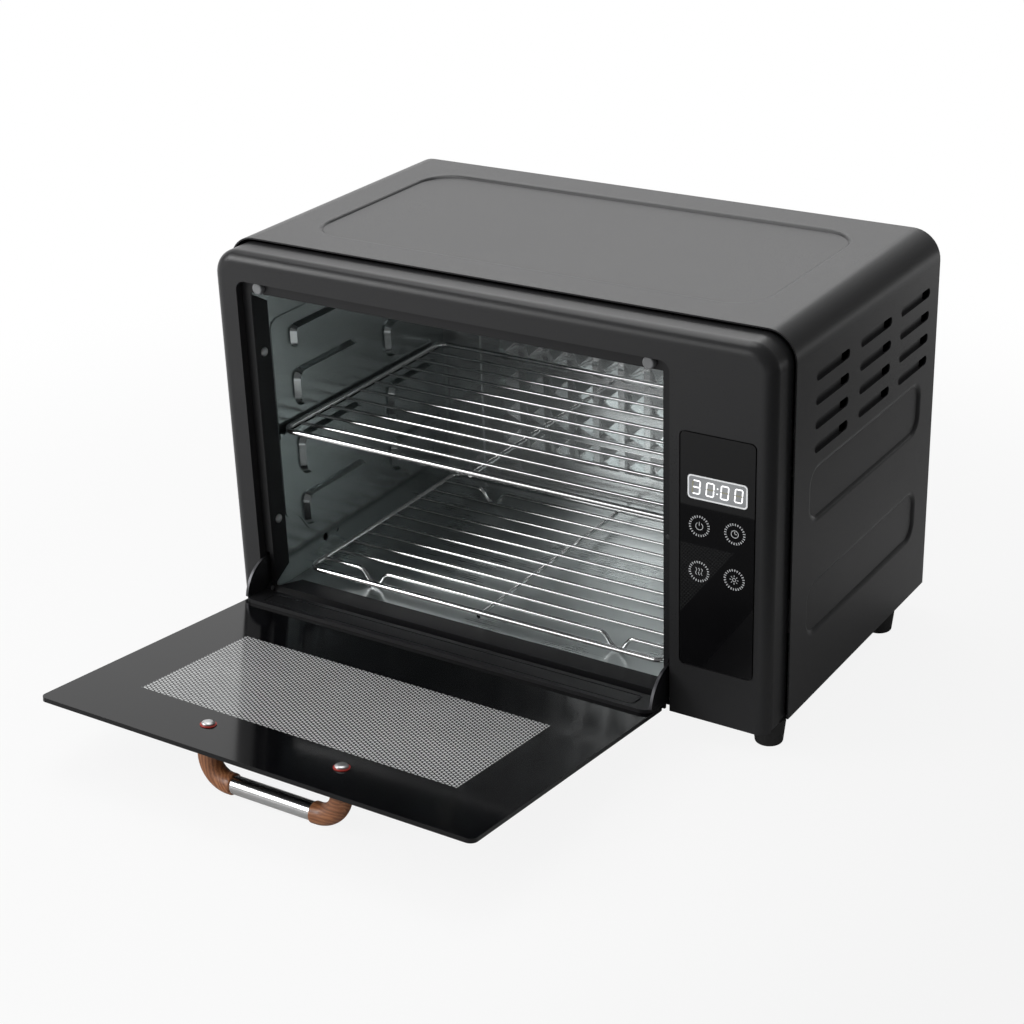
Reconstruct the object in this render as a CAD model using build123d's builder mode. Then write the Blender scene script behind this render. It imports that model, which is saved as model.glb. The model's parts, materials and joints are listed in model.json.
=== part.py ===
"""Countertop sterilizer dryer with a drop-down glass door, in millimetres.

+Z is up from the surface that the feet stand on and +Y runs from the door to the back. The origin
is under the middle of the outline with the door open. Depths are from the face of the bezel.
"""

import math
import os

from build123d import *

# Cabinet
body_width = 425.0
body_height = 277.0
body_depth = 243.0
foot_height = 18.0
sheet = 1.0
sheet_gap = 0.3
overrun = 5.0

# Outer shell with its pressed panels and louvres
shell_start = 24.0
shell_corner = 20.0
rear_recess = 3.0
rear_lip = 12.0
press_depth = 1.6
press_run = 2.2
press_rim = 5.0
top_panel_side = 42.5
top_panel_end = 29.0
top_panel_corner = 26.0
side_panel_end = 23.5
side_panel_height = 36.5
side_panel_corner = 12.0
side_panel_shares = (0.555, 0.247)
louvre_length = 48.0
louvre_height = 6.4
louvre_shares = (0.237, 0.532, 0.82)
louvre_rows = 4
louvre_pitch = 15.8
louvre_top = 37.0
louvre_sink = 2.4
pocket_share = 0.85

# Bezel
bezel_inset = 3.0
bezel_drop = 2.0
bezel_depth = 26.0
bezel_wall = 1.5
bezel_corner = 18.0
bezel_edge = 8.0
bezel_return = 6.0
bar_width = 19.5
column_width = 69.0
opening_corner = 7.0

# Front frame
lip_side = 7.5
lip_top = 9.0
sill_rise = 6.5
tab_depth = 16.5
tab_relief = 9.0
tab_margin = 2.0
frame_gap = 0.8
frame_corner = 15.0
slot_gap = 0.4
slot_top = 27.0
frame_screw_shares = (0.224, 0.794)
frame_screw_inset = 7.5

# Cavity
rear_space = 13.0
field_raise = 0.8
field_front = 17.0
field_end = 5.0
field_low_share = 0.21
field_shares = (0.132, 0.88)
field_ramp_start = 14.0
field_ramp_end = 26.0
field_corner = 8.0
emboss_raise = 5.0
emboss_run = 2.9
emboss_corner_share = 0.3
emboss_rows_shares = ((0.15, 0.275), (0.325, 0.48), (0.56, 0.695), (0.755, 0.84))
emboss_columns_shares = ((0.165, 0.51), (0.655, 0.965))
rail_share = 0.514
rail_width = 5.0
rail_leg = 5.5
vent_hole = 3.0
sensor_hole = 1.6
vent_hole_place_shares = (0.273, 0.075)
sensor_place_shares = (0.336, 0.075)
pyramid_pitch_x = 21.8
pyramid_pitch_z = 24.3
pyramid_width = 17.0
pyramid_height = 18.0
pyramid_raise = 6.0
pyramid_tip = 0.5
pyramid_columns = 10
pyramid_rows = 7
pyramid_lift = 7.0
seam_inset = 24.0
seam_width = 11.0
seam_raise = 1.5

# Control panel
inlay_width = 52.0
inlay_height = 160.0
inlay_corner = 4.0
inlay_offset = 32.7
inlay_rise = 35.0
inlay_depth = 1.4
inlay_gap = 0.9
pocket_rim = 3.0
pocket_backing = 1.5
window_ledge = 4.0
display_width = 40.6
display_height = 16.0
display_rise = 124.0
display_gap = 0.1
key_pitch_x = 24.1
key_pitch_z = 30.8
key_rise = 83.0
pad_radius = 6.0
board_depth = 9.0
board_thickness = 1.6
board_height = 132.0
board_rise = 8.0
spacer_radius = 1.6
spacer_inset = 2.4

# Door
hinge_depth = 4.0
hinge_rise = 5.0
glass_thickness = 3.0
glass_drop = 2.0
door_gap = 1.5
glass_corner = 5.0
strip_start = 5.0
strip_end = 28.0
strip_lip = 2.0
strip_raise = 0.5
strip_corner = 8.0
groove_inset = 4.0
groove_end = 14.0
groove_width = 1.2
groove_depth = 0.8
arm_thickness = 2.0
arm_radius = 25.0
arm_back = 2.0
arm_corner = 4.0
hub_radius = 4.5
pin_radius = 1.75
pin_fit = 0.05
pin_grip = 0.02
pin_overhang = 0.6
ear_gap = 0.6
ear_thickness = 1.2
handle_inset = 30.0
handle_pitch = 102.0
handle_standoff = 32.0
tube_radius = 6.0
tube_wall = 1.0
elbow_radius = 7.0
elbow_bend = 17.0
elbow_reach = 20.5
elbow_edge = 1.0
floor_gap = 2.0
handle_screw_radius = 2.0
handle_screw_bite = 12.0
handle_head_radius = 4.3
handle_head_height = 1.7
handle_hole = 2.3
washer_radius = 5.2
washer_thickness = 0.6

# Door springs
spring_height = 20.0
spring_wire = 0.6
spring_radius = 2.4
spring_pitch = 1.15
spring_turns = 30
spring_coil_depth = 32.0
spring_tab_depth = 82.0
spring_tab_reach = 6.0
spring_tab_rise = 8.0
spring_tab_hole = 0.9

# Bumpers and door switch
bumper_radius = 4.0
bumper_inset = 8.5
bumper_edge = 1.0
contact_gap = 0.3
switch_width = 6.0
switch_height = 20.0
switch_depth = 12.5
switch_share = 0.52
plunger_radius = 1.7
plunger_fit = 0.06
plunger_length = 11.0
plunger_travel = 2.5
plunger_edge = 0.5

# Racks
rack_wire = 2.0
cross_wire = 1.25
centre_wire = 1.5
foot_wire = 1.5
rack_side_gap = 0.8
rack_front = 25.0
rack_rear_gap = 9.0
rack_corner = 8.0
rack_rest = 0.25
weld = 0.4
cross_wires = 10
lower_rack_half = 145.0
lower_rack_front = 30.0
rack_foot_pitch = 200.0
rack_foot_half = 10.0
rack_foot_drop = 16.0
rack_foot_bend = 7.0

# Lamp
lamp_rear_gap = 32.0
lamp_drop = 15.0
lamp_radius = 7.75
lamp_cap_radius = 8.2
lamp_cap = 11.0
lamp_length = 212.0
lamp_pin_radius = 1.2
lamp_pin_fit = 0.05
lamp_pin_reach = 6.0
lamp_pin_pitch = 6.0
holder_length = 12.0
holder_half = 11.0
holder_below = 11.0
driver_reach = 22.0
driver_length = 62.0
driver_height = 44.0
driver_depth = 36.0
driver_share = 0.68

# Heater and fan
fan_side = 80.0
fan_thickness = 25.0
fan_bore = 37.5
fan_corner = 4.0
fan_depth_share = 0.641
fan_share = 0.32
fan_hole = 2.1
fan_hole_pitch = 71.5
duct_length = 26.0
heater_thickness = 14.0
heater_height = 50.0
heater_start = 6.0
heater_fin_gap = 3.0
heater_fin_pitch = 6.0
heater_fins = 11
heater_fin_reach = 4.0
motor_radius = 15.0
motor_length = 8.0
spoke_width = 4.0
spoke_thickness = 2.0
spoke_angles = (30.0, 150.0, 270.0)
shaft_radius = 1.5
shaft_fit = 0.05
shaft_reach = 6.0
rotor_radius = 17.0
rotor_length = 12.0
rotor_start = 2.0
blade_count = 7
blade_tip = 35.5
blade_chord = 13.0
blade_thickness = 1.4
blade_angle = 35.0
blade_root = 2.0
grille_hole = 2.6
grille_rings_shares = (0.33, 0.66, 0.99)
grille_ring_holes = 6
grille_radius = 31.0
cutout_radius = 8.0
cutout_height = 7.0
probe_radius = 2.0
probe_length = 14.0
probe_nut_radius = 4.5
probe_nut_height = 3.0
probe_fit = 0.1
probe_share = 0.92

# Power board and cord entry
power_width = 54.0
power_length = 78.0
power_depth = 34.0
power_inset = 10.0
standoff_height = 7.0
standoff_radius = 3.0
standoff_inset = 5.0
part_height = 22.0
part_shares = ((0.3, 0.3, 0.32, 0.26, 1.0), (0.72, 0.28, 0.26, 0.22, 0.64), (0.3, 0.72, 0.2, 0.2, 0.82),
               (0.68, 0.7, 0.34, 0.16, 0.41))
gland_radius = 9.0
gland_body = 6.0
gland_fit = 0.2
gland_head = 2.6
gland_reach = 8.0
gland_bore = 3.2
gland_inset = 26.0
gland_rise = 26.0
back_vent_length = 30.0
back_vent_height = 3.0
back_vent_pitch = 8.0
back_vent_rows = 7
back_vent_inset = 40.0
back_vent_rise = 62.0

# Feet and screws
foot_radius = 11.0
foot_base_radius = 9.0
foot_side_inset = 12.5
foot_front_depth = 23.0
foot_rear_inset = 47.0
foot_bore = 5.0
foot_bore_depth = 8.0
foot_edge = 1.2
screw_radius = 2.0
screw_fit = 0.2
screw_head_radius = 4.0
screw_head_height = 2.2
screw_tail = 3.0
small_screw_radius = 1.5
small_head_radius = 3.2
small_head_height = 1.8
back_screw_side_shares = (0.12, 0.5, 0.88)

# Places that follow from the sizes
half_width = body_width / 2
bezel_half = half_width - bezel_inset
bezel_top = body_height - bezel_inset
bezel_bottom = foot_height - bezel_drop
opening_left = bar_width - bezel_half
opening_right = bezel_half - column_width
opening_top = bezel_top - bar_width
opening_mid = (opening_left + opening_right) / 2
clear_left = opening_left + lip_side
clear_right = opening_right - lip_side
clear_top = opening_top - lip_top
sill_z = foot_height + sill_rise
shell_length = body_depth - shell_start
shell_height = body_height - foot_height
cabinet_mid = (shell_start + body_depth) / 2
foot_rear_depth = body_depth - foot_rear_inset
rear_depth = body_depth - rear_space
rack_rear = rear_depth - rack_rear_gap
lamp_depth = rear_depth - lamp_rear_gap
frame_front = bezel_return
frame_back = frame_front + sheet
tab_end = frame_front + tab_depth
frame_half = bezel_half - bezel_wall - frame_gap
wall_left = clear_left - sheet
wall_right = clear_right + sheet
outer_left = wall_left - sheet
outer_right = wall_right + sheet
ceiling_z = clear_top + sheet
base_top = foot_height + sheet
floor_z = base_top + sheet
cavity_end = rear_depth + sheet
cavity_length = rear_depth - frame_back
cavity_height = ceiling_z - floor_z
back_depth = body_depth - rear_recess - sheet
fan_depth = frame_back + fan_depth_share * cavity_length

# Door geometry: the open door leans up just enough for the handle to clear the table
hinge_z = foot_height + hinge_rise
door_reach = opening_top - door_gap - hinge_z
door_left = opening_left + door_gap
door_right = opening_right - door_gap
glass_low = glass_drop + glass_thickness
handle_s = door_reach - handle_inset
handle_n = glass_low + handle_standoff
handle_radius = math.hypot(handle_s, handle_n)
tilt = math.atan2(handle_n, handle_s) + math.asin((floor_gap + elbow_radius - hinge_z) / handle_radius)
front_reach = door_reach * math.cos(tilt) + glass_low * math.sin(tilt) - hinge_depth
front_y = (front_reach - body_depth) / 2
hinge_y = front_y + hinge_depth
along = Vector(0, -math.cos(tilt), math.sin(tilt))
inward = Vector(0, math.sin(tilt), math.cos(tilt))
across = Vector(1, 0, 0)


def upright(depth):
    """Plane that faces the door side, drawn in width and height."""
    return Plane(origin=(0, front_y + depth, 0), x_dir=(1, 0, 0), z_dir=(0, -1, 0))


def side(x):
    """Plane that faces right, drawn in depth and height."""
    return Plane(origin=(x, front_y, 0), x_dir=(0, 1, 0), z_dir=(1, 0, 0))


def level(z):
    """Plane that faces up, drawn in width and depth."""
    return Plane(origin=(0, front_y, z), x_dir=(1, 0, 0), z_dir=(0, 0, 1))


def door_point(x, s, n):
    """Place on the open door: s out from the hinge axis, n toward the inner side."""
    return Vector(0, hinge_y, hinge_z) + across * x + along * s + inward * n


def door_level(n):
    """Plane along the door, drawn in width and minus s."""
    return Plane(origin=door_point(0, 0, n), x_dir=(1, 0, 0), z_dir=inward)


def door_side(x):
    """Plane across the door that faces left, drawn in s and n."""
    return Plane(origin=door_point(x, 0, 0), x_dir=along, z_dir=(-1, 0, 0))


def mirrored(x):
    """Place as far to the other side of the door opening's middle."""
    return opening_left + opening_right - x


def block(x0, x1, d0, d1, z0, z1, mode=Mode.ADD):
    """Box between two places along each axis."""
    with Locations(((x0 + x1) / 2, front_y + (d0 + d1) / 2, (z0 + z1) / 2)):
        Box(abs(x1 - x0), d1 - d0, z1 - z0, mode=mode)


def rod(start, end, radius, mode=Mode.ADD):
    """Round bar between two points."""
    with Locations(Plane(origin=start, z_dir=end - start)):
        Cylinder(radius, (end - start).length, align=(Align.CENTER, Align.CENTER, Align.MIN), mode=mode)


def spot(x, depth, z):
    """Point from its depth behind the bezel's face."""
    return Vector(x, front_y + depth, z)


def arch(x0, x1, low, high, radius, mode=Mode.ADD):
    """Outline with its two upper corners rounded."""
    middle = (low + high) / 2
    with Locations(((x0 + x1) / 2, middle)):
        RectangleRounded(x1 - x0, high - low, radius, mode=mode)
    with Locations(((x0 + x1) / 2, (low + middle) / 2)):
        Rectangle(x1 - x0, middle - low, mode=mode)


def bezel_form(inset, end):
    """Bezel outline drawn in by an inset, its front edge rounded at the sides and top."""
    with BuildPart() as form:
        with BuildSketch(upright(inset)):
            arch(inset - bezel_half, bezel_half - inset, bezel_bottom + inset, bezel_top - inset,
                 bezel_corner - inset)
        extrude(amount=inset - end)
        face_edges = edges().filter_by_position(Axis.Y, front_y + inset, front_y + inset)
        fillet(face_edges.sort_by(Axis.Z)[1:], bezel_edge - inset)
    return form.part


# Shell places
top_panel_width = body_width - 2 * top_panel_side
top_panel_length = shell_length - 2 * top_panel_end
side_panel_length = shell_length - 2 * side_panel_end
press_slope = math.degrees(math.atan2(press_run, press_depth))
side_panels = [(cabinet_mid, foot_height + share * shell_height) for share in side_panel_shares]
louvre_depths = [shell_start + share * shell_length for share in louvre_shares]
louvre_heights = [body_height - louvre_top - row * louvre_pitch for row in range(louvre_rows)]
louvres = [(depth, z) for depth in louvre_depths for z in louvre_heights]
pocket_length = pocket_share * louvre_length + sheet
pocket_shift = (pocket_length - louvre_length) / 2 - sheet
pockets = [(depth + pocket_shift, z) for depth, z in louvres]
lip_mid_x = half_width - sheet - rear_lip / 2
back_screw_places = [(sign * lip_mid_x, foot_height + share * shell_height) for sign in (-1, 1)
                     for share in back_screw_side_shares]

# Outer shell
with BuildPart() as outer_shell:
    with BuildSketch(upright(shell_start)):
        arch(-half_width, half_width, foot_height, body_height, shell_corner)
        arch(sheet - half_width, half_width - sheet, foot_height - overrun, body_height - sheet,
             shell_corner - sheet, Mode.SUBTRACT)
    extrude(amount=-shell_length)
    with BuildSketch(upright(back_depth - sheet)):
        arch(sheet - half_width, half_width - sheet, base_top, body_height - sheet, shell_corner - sheet)
        arch(sheet + rear_lip - half_width, half_width - sheet - rear_lip, foot_height - overrun,
             body_height - sheet - rear_lip, shell_corner - sheet, Mode.SUBTRACT)
        with Locations(*back_screw_places):
            Circle(small_screw_radius + screw_fit, mode=Mode.SUBTRACT)
    extrude(amount=-sheet)
    with BuildSketch(level(body_height - sheet)):
        with Locations((0, cabinet_mid)):
            RectangleRounded(top_panel_width, top_panel_length, top_panel_corner)
    extrude(amount=-press_depth)
    with BuildSketch(level(body_height)):
        with Locations((0, cabinet_mid)):
            RectangleRounded(top_panel_width, top_panel_length, top_panel_corner)
    extrude(amount=-press_depth, taper=press_slope, mode=Mode.SUBTRACT)
    top_rims = faces().sort_by(Axis.Z)[-1].inner_wires()
    fillet([edge for rim in top_rims for edge in rim.edges()], press_rim)
    for sign in (-1, 1):
        with BuildSketch(side(sign * (half_width - sheet))):
            with Locations(*side_panels):
                RectangleRounded(side_panel_length, side_panel_height, side_panel_corner)
        extrude(amount=-sign * press_depth)
        with BuildSketch(side(sign * half_width)):
            with Locations(*side_panels):
                RectangleRounded(side_panel_length, side_panel_height, side_panel_corner)
        extrude(amount=-sign * press_depth, taper=press_slope, mode=Mode.SUBTRACT)
        side_rims = faces().sort_by(Axis((0, 0, 0), (sign, 0, 0)))[-1].inner_wires()
        fillet([edge for rim in side_rims for edge in rim.edges()], press_rim)
    with BuildSketch(side(half_width - sheet)):
        with Locations(*pockets):
            Rectangle(pocket_length, louvre_height + 2 * sheet)
    extrude(amount=-louvre_sink)
    with BuildSketch(side(half_width)):
        with Locations(*louvres):
            SlotOverall(louvre_length, louvre_height)
    extrude(amount=-louvre_sink, mode=Mode.SUBTRACT)
outer_shell.part.label = "outer_shell"

# Cord entry and back vents
gland_x = half_width - gland_inset
gland_z = foot_height + gland_rise
vent_mid_z = foot_height + back_vent_rise

# Back panel
with BuildPart() as back_panel:
    with BuildSketch(upright(back_depth)):
        arch(sheet + sheet_gap - half_width, half_width - sheet - sheet_gap, foot_height,
             body_height - sheet - sheet_gap, shell_corner - sheet - sheet_gap)
        with Locations((half_width - back_vent_inset, vent_mid_z)):
            with GridLocations(back_vent_length, back_vent_pitch, 1, back_vent_rows):
                SlotOverall(back_vent_length, back_vent_height, mode=Mode.SUBTRACT)
        with Locations((gland_x, gland_z)):
            Circle(gland_body + gland_fit, mode=Mode.SUBTRACT)
        with Locations(*back_screw_places):
            Circle(small_screw_radius + screw_fit, mode=Mode.SUBTRACT)
    extrude(amount=-sheet)
back_panel.part.label = "back_panel"

# Back screws
with BuildPart() as back_screws:
    for x, z in back_screw_places:
        rod(spot(x, back_depth + sheet, z), spot(x, back_depth + sheet + small_head_height, z),
            small_head_radius)
        rod(spot(x, back_depth - sheet - screw_tail, z), spot(x, back_depth + sheet, z), small_screw_radius)
back_screws.part.label = "back_screws"

# Feet places
foot_x = half_width - foot_side_inset
foot_places = {
    "front_left": (-foot_x, foot_front_depth),
    "front_right": (foot_x, foot_front_depth),
    "rear_left": (-foot_x, foot_rear_depth),
    "rear_right": (foot_x, foot_rear_depth),
}

# Base plate
base_step = bezel_depth + sheet_gap
with BuildPart() as base_plate:
    block(sheet - half_width, half_width - sheet, base_step, back_depth, foot_height, base_top)
    block(-frame_half, frame_half, frame_back, base_step, foot_height, base_top)
    with BuildSketch(level(foot_height)):
        with Locations(*foot_places.values()):
            Circle(screw_radius + screw_fit)
    extrude(amount=sheet, mode=Mode.SUBTRACT)
base_plate.part.label = "base_plate"

# Feet
feet = {}
for name, (x, depth) in foot_places.items():
    with BuildPart() as foot:
        with Locations(spot(x, depth, foot_height / 2)):
            Cone(foot_base_radius, foot_radius, foot_height)
        fillet(edges().group_by(Axis.Z)[0], foot_edge)
        rod(spot(x, depth, 0), spot(x, depth, foot_height), screw_radius + screw_fit, Mode.SUBTRACT)
        rod(spot(x, depth, 0), spot(x, depth, foot_bore_depth), foot_bore, Mode.SUBTRACT)
    foot.part.label = "foot_" + name
    feet[name] = foot.part

# Foot screws
with BuildPart() as foot_screws:
    for x, depth in foot_places.values():
        rod(spot(x, depth, foot_bore_depth - screw_head_height), spot(x, depth, foot_bore_depth),
            screw_head_radius)
        rod(spot(x, depth, foot_bore_depth), spot(x, depth, base_top + screw_tail), screw_radius)
foot_screws.part.label = "foot_screws"

# Control panel places
inlay_x = opening_right + inlay_offset
inlay_low = foot_height + inlay_rise
inlay_mid = inlay_low + inlay_height / 2
window_width = inlay_width - 2 * window_ledge
window_height = inlay_height - 2 * window_ledge
display_z = inlay_low + display_rise
key_z = inlay_low + key_rise
keys = [(inlay_x + sx * key_pitch_x / 2, key_z + sz * key_pitch_z / 2) for sx in (-1, 1) for sz in (-1, 1)]
board_z = inlay_low + board_rise + board_height / 2
backing_end = bezel_wall + pocket_backing
spacer_x = (inlay_width - window_ledge) / 2
spacer_z = (board_height - spacer_inset) / 2 - spacer_radius
spacers = [(inlay_x + sx * spacer_x, board_z + sz * spacer_z) for sx in (-1, 1) for sz in (-1, 1)]

# Front bezel
with BuildPart() as front_bezel:
    add(bezel_form(0, bezel_depth))
    add(bezel_form(bezel_wall, bezel_depth + overrun), mode=Mode.SUBTRACT)
    with BuildSketch(upright(-overrun)):
        arch(opening_left, opening_right, bezel_bottom - overrun, opening_top, opening_corner)
    extrude(amount=-bezel_depth - overrun - overrun, mode=Mode.SUBTRACT)
    with BuildSketch(upright(0)):
        arch(opening_left - bezel_wall, opening_right + bezel_wall, bezel_bottom, opening_top + bezel_wall,
             opening_corner + bezel_wall)
        arch(opening_left, opening_right, bezel_bottom - overrun, opening_top, opening_corner, Mode.SUBTRACT)
    extrude(amount=-bezel_return)
    block(-half_width, half_width, bezel_return, bezel_depth + overrun, bezel_bottom - overrun, foot_height,
          Mode.SUBTRACT)
    with BuildSketch(upright(bezel_wall)):
        with Locations((inlay_x, inlay_mid)):
            RectangleRounded(inlay_width + 2 * pocket_rim, inlay_height + 2 * pocket_rim, inlay_corner)
    extrude(amount=-pocket_backing)
    with BuildSketch(upright(0)):
        with Locations((inlay_x, inlay_mid)):
            RectangleRounded(inlay_width, inlay_height, inlay_corner)
    extrude(amount=-inlay_depth, mode=Mode.SUBTRACT)
    with BuildSketch(upright(0)):
        with Locations((inlay_x, inlay_mid)):
            RectangleRounded(window_width, window_height, inlay_corner)
    extrude(amount=-backing_end - overrun, mode=Mode.SUBTRACT)
front_bezel.part.label = "front_bezel"

# Control panel inlay
with BuildPart() as control_panel:
    with BuildSketch(upright(0)):
        with Locations((inlay_x, inlay_mid)):
            RectangleRounded(inlay_width - 2 * inlay_gap, inlay_height - 2 * inlay_gap,
                             inlay_corner - inlay_gap)
        with Locations((inlay_x, display_z)):
            Rectangle(display_width, display_height, mode=Mode.SUBTRACT)
    extrude(amount=-inlay_depth)
control_panel.part.label = "control_panel"

# Display window
lens_half = display_width / 2 - display_gap
lens_rise = display_height / 2 - display_gap
with BuildPart() as display_lens:
    block(inlay_x - lens_half, inlay_x + lens_half, display_gap, inlay_depth, display_z - lens_rise,
          display_z + lens_rise)
display_lens.part.label = "display_lens"

# Display module on the control board
with BuildPart() as display_module:
    block(inlay_x - lens_half, inlay_x + lens_half, inlay_depth, board_depth, display_z - lens_rise,
          display_z + lens_rise)
display_module.part.label = "display_module"

# Touch pads between the inlay and the control board
with BuildPart() as touch_pads:
    for x, z in keys:
        rod(spot(x, inlay_depth, z), spot(x, board_depth, z), pad_radius)
touch_pads.part.label = "touch_pads"

# Control board
with BuildPart() as control_board:
    block(inlay_x - inlay_width / 2, inlay_x + inlay_width / 2, board_depth, board_depth + board_thickness,
          board_z - board_height / 2, board_z + board_height / 2)
control_board.part.label = "control_board"

# Spacers that carry the control board on the bezel
with BuildPart() as board_spacers:
    for x, z in spacers:
        rod(spot(x, backing_end, z), spot(x, board_depth, z), spacer_radius)
board_spacers.part.label = "board_spacers"

# Hinge and switch places, left side
arm_left = door_left
arm_inner = arm_left + arm_thickness
ear_left = arm_inner + ear_gap
ear_inner = ear_left + ear_thickness
slot_low = hinge_z - hub_radius - slot_gap
switch_z = floor_z + switch_share * cavity_height
switch_x = outer_right + sheet_gap + switch_width / 2
tab_low = sill_z + tab_margin
tab_high = clear_top - tab_margin
tab_side = [(frame_back, tab_low), (tab_end, tab_low + tab_relief), (tab_end, tab_high - tab_relief),
            (frame_back, tab_high)]
tab_flat = [(clear_left + tab_margin, frame_back), (clear_left + tab_margin + tab_relief, tab_end),
            (clear_right - tab_margin - tab_relief, tab_end), (clear_right - tab_margin, frame_back)]
frame_screw_depth = frame_back + frame_screw_inset
frame_screw_heights = [sill_z + share * (clear_top - sill_z) for share in frame_screw_shares]

# Front frame with its returns, sill and hinge ears
with BuildPart() as front_frame:
    with BuildSketch(upright(frame_front)):
        arch(-frame_half, frame_half, foot_height, bezel_top - bezel_wall - frame_gap, frame_corner)
        with Locations(((clear_left + clear_right) / 2, (sill_z + clear_top) / 2)):
            Rectangle(clear_right - clear_left, clear_top - sill_z, mode=Mode.SUBTRACT)
        with Locations((inlay_x, board_z)):
            Rectangle(inlay_width + 2 * sheet, board_height + 2 * sheet, mode=Mode.SUBTRACT)
        with Locations((switch_x, switch_z)):
            Circle(plunger_radius + plunger_fit + sheet_gap, mode=Mode.SUBTRACT)
    extrude(amount=-sheet)
    for x in (wall_left, clear_right):
        with BuildSketch(side(x)):
            Polygon(*tab_side, align=None)
        extrude(amount=sheet)
    for z in (sill_z - sheet, clear_top):
        with BuildSketch(level(z)):
            Polygon(*tab_flat, align=None)
        extrude(amount=sheet)
    block(clear_left + tab_margin + tab_relief, clear_right - tab_margin - tab_relief, tab_end - sheet,
          tab_end,
          floor_z, sill_z)
    for x0, x1 in ((ear_left, ear_inner), (mirrored(ear_inner), mirrored(ear_left))):
        rod(spot(x0, hinge_depth, hinge_z), spot(x1, hinge_depth, hinge_z), hub_radius)
        block(x0, x1, hinge_depth, frame_front, hinge_z - hub_radius, hinge_z + hub_radius)
        rod(spot(x0, hinge_depth, hinge_z), spot(x1, hinge_depth, hinge_z), pin_radius + pin_grip,
            Mode.SUBTRACT)
    for x0, x1 in ((arm_left - slot_gap, arm_inner + slot_gap),
                   (mirrored(arm_inner + slot_gap), mirrored(arm_left - slot_gap))):
        block(x0, x1, frame_front, frame_back, slot_low, hinge_z + slot_top, Mode.SUBTRACT)
    for z in frame_screw_heights:
        rod(spot(wall_left, frame_screw_depth, z), spot(clear_left, frame_screw_depth, z),
            small_screw_radius + screw_fit, Mode.SUBTRACT)
        rod(spot(clear_right, frame_screw_depth, z), spot(wall_right, frame_screw_depth, z),
            small_screw_radius + screw_fit, Mode.SUBTRACT)
front_frame.part.label = "front_frame"

# Frame screws through the side returns
with BuildPart() as frame_screws:
    for z in frame_screw_heights:
        for face, step in ((clear_left, 1), (clear_right, -1)):
            head_end = face + step * small_head_height
            tail_end = face - step * (2 * sheet + screw_tail)
            rod(spot(face, frame_screw_depth, z), spot(head_end, frame_screw_depth, z), small_head_radius)
            rod(spot(tail_end, frame_screw_depth, z), spot(face, frame_screw_depth, z), small_screw_radius)
frame_screws.part.label = "frame_screws"

# Pressed pockets of the cavity walls, in depth and height
emboss_slope = math.degrees(math.atan2(emboss_run, emboss_raise))
pockets = [[((frame_back + (d0 + d1) / 2 * cavity_length, floor_z + (z0 + z1) / 2 * cavity_height),
             (d1 - d0) * cavity_length, (z1 - z0) * cavity_height) for z0, z1 in emboss_rows_shares]
           for d0, d1 in emboss_columns_shares]
field_start = frame_back + field_front
field_stop = rear_depth - field_end
field_low, field_high = [floor_z + share * cavity_height for share in field_shares]
field_step = floor_z + field_low_share * cavity_height
field = [(field_start, field_step), (field_start + field_ramp_start, field_step),
         (field_start + field_ramp_end, field_low), (field_stop, field_low), (field_stop, field_high),
         (field_start, field_high)]
spring_n = spring_height * math.cos(tilt) + arm_back * math.sin(-tilt)
spring_z = hinge_z + spring_n
spring_start = hinge_depth + spring_height * math.sin(tilt) + arm_back * math.cos(tilt) + contact_gap
spring_x = arm_left + arm_thickness / 2
tab_z = spring_z - spring_tab_rise / 2
fan_z = floor_z + fan_share * cavity_height
vent_place = (frame_back + vent_hole_place_shares[0] * cavity_length,
              floor_z + vent_hole_place_shares[1] * cavity_height)
sensor_place = (frame_back + sensor_place_shares[0] * cavity_length,
                floor_z + sensor_place_shares[1] * cavity_height)

# Left cavity wall
with BuildPart() as cavity_left_wall:
    block(outer_left, wall_left, frame_back, cavity_end, floor_z, ceiling_z)
    with BuildSketch(side(wall_left)):
        Polygon(*field, align=None)
        fillet(vertices(), field_corner)
    extrude(amount=field_raise)
    with BuildSketch(side(wall_left)):
        for column in pockets:
            for place, length, height in column:
                with Locations(place):
                    RectangleRounded(length, height, emboss_corner_share * height)
    extrude(amount=emboss_raise, taper=emboss_slope)
    block(outer_left - spring_tab_reach, outer_left, spring_tab_depth, spring_tab_depth + sheet, tab_z,
          tab_z + spring_tab_rise)
    rod(spot(spring_x, spring_tab_depth, spring_z), spot(spring_x, spring_tab_depth + sheet, spring_z),
        spring_tab_hole, Mode.SUBTRACT)
    for z in frame_screw_heights:
        rod(spot(outer_left, frame_screw_depth, z), spot(wall_left, frame_screw_depth, z),
            small_screw_radius + screw_fit, Mode.SUBTRACT)
    with BuildSketch(side(outer_left)):
        with Locations(vent_place):
            Circle(vent_hole)
        with Locations(sensor_place):
            Circle(sensor_hole)
    extrude(amount=sheet, mode=Mode.SUBTRACT)
cavity_left_wall.part.label = "cavity_left_wall"

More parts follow.
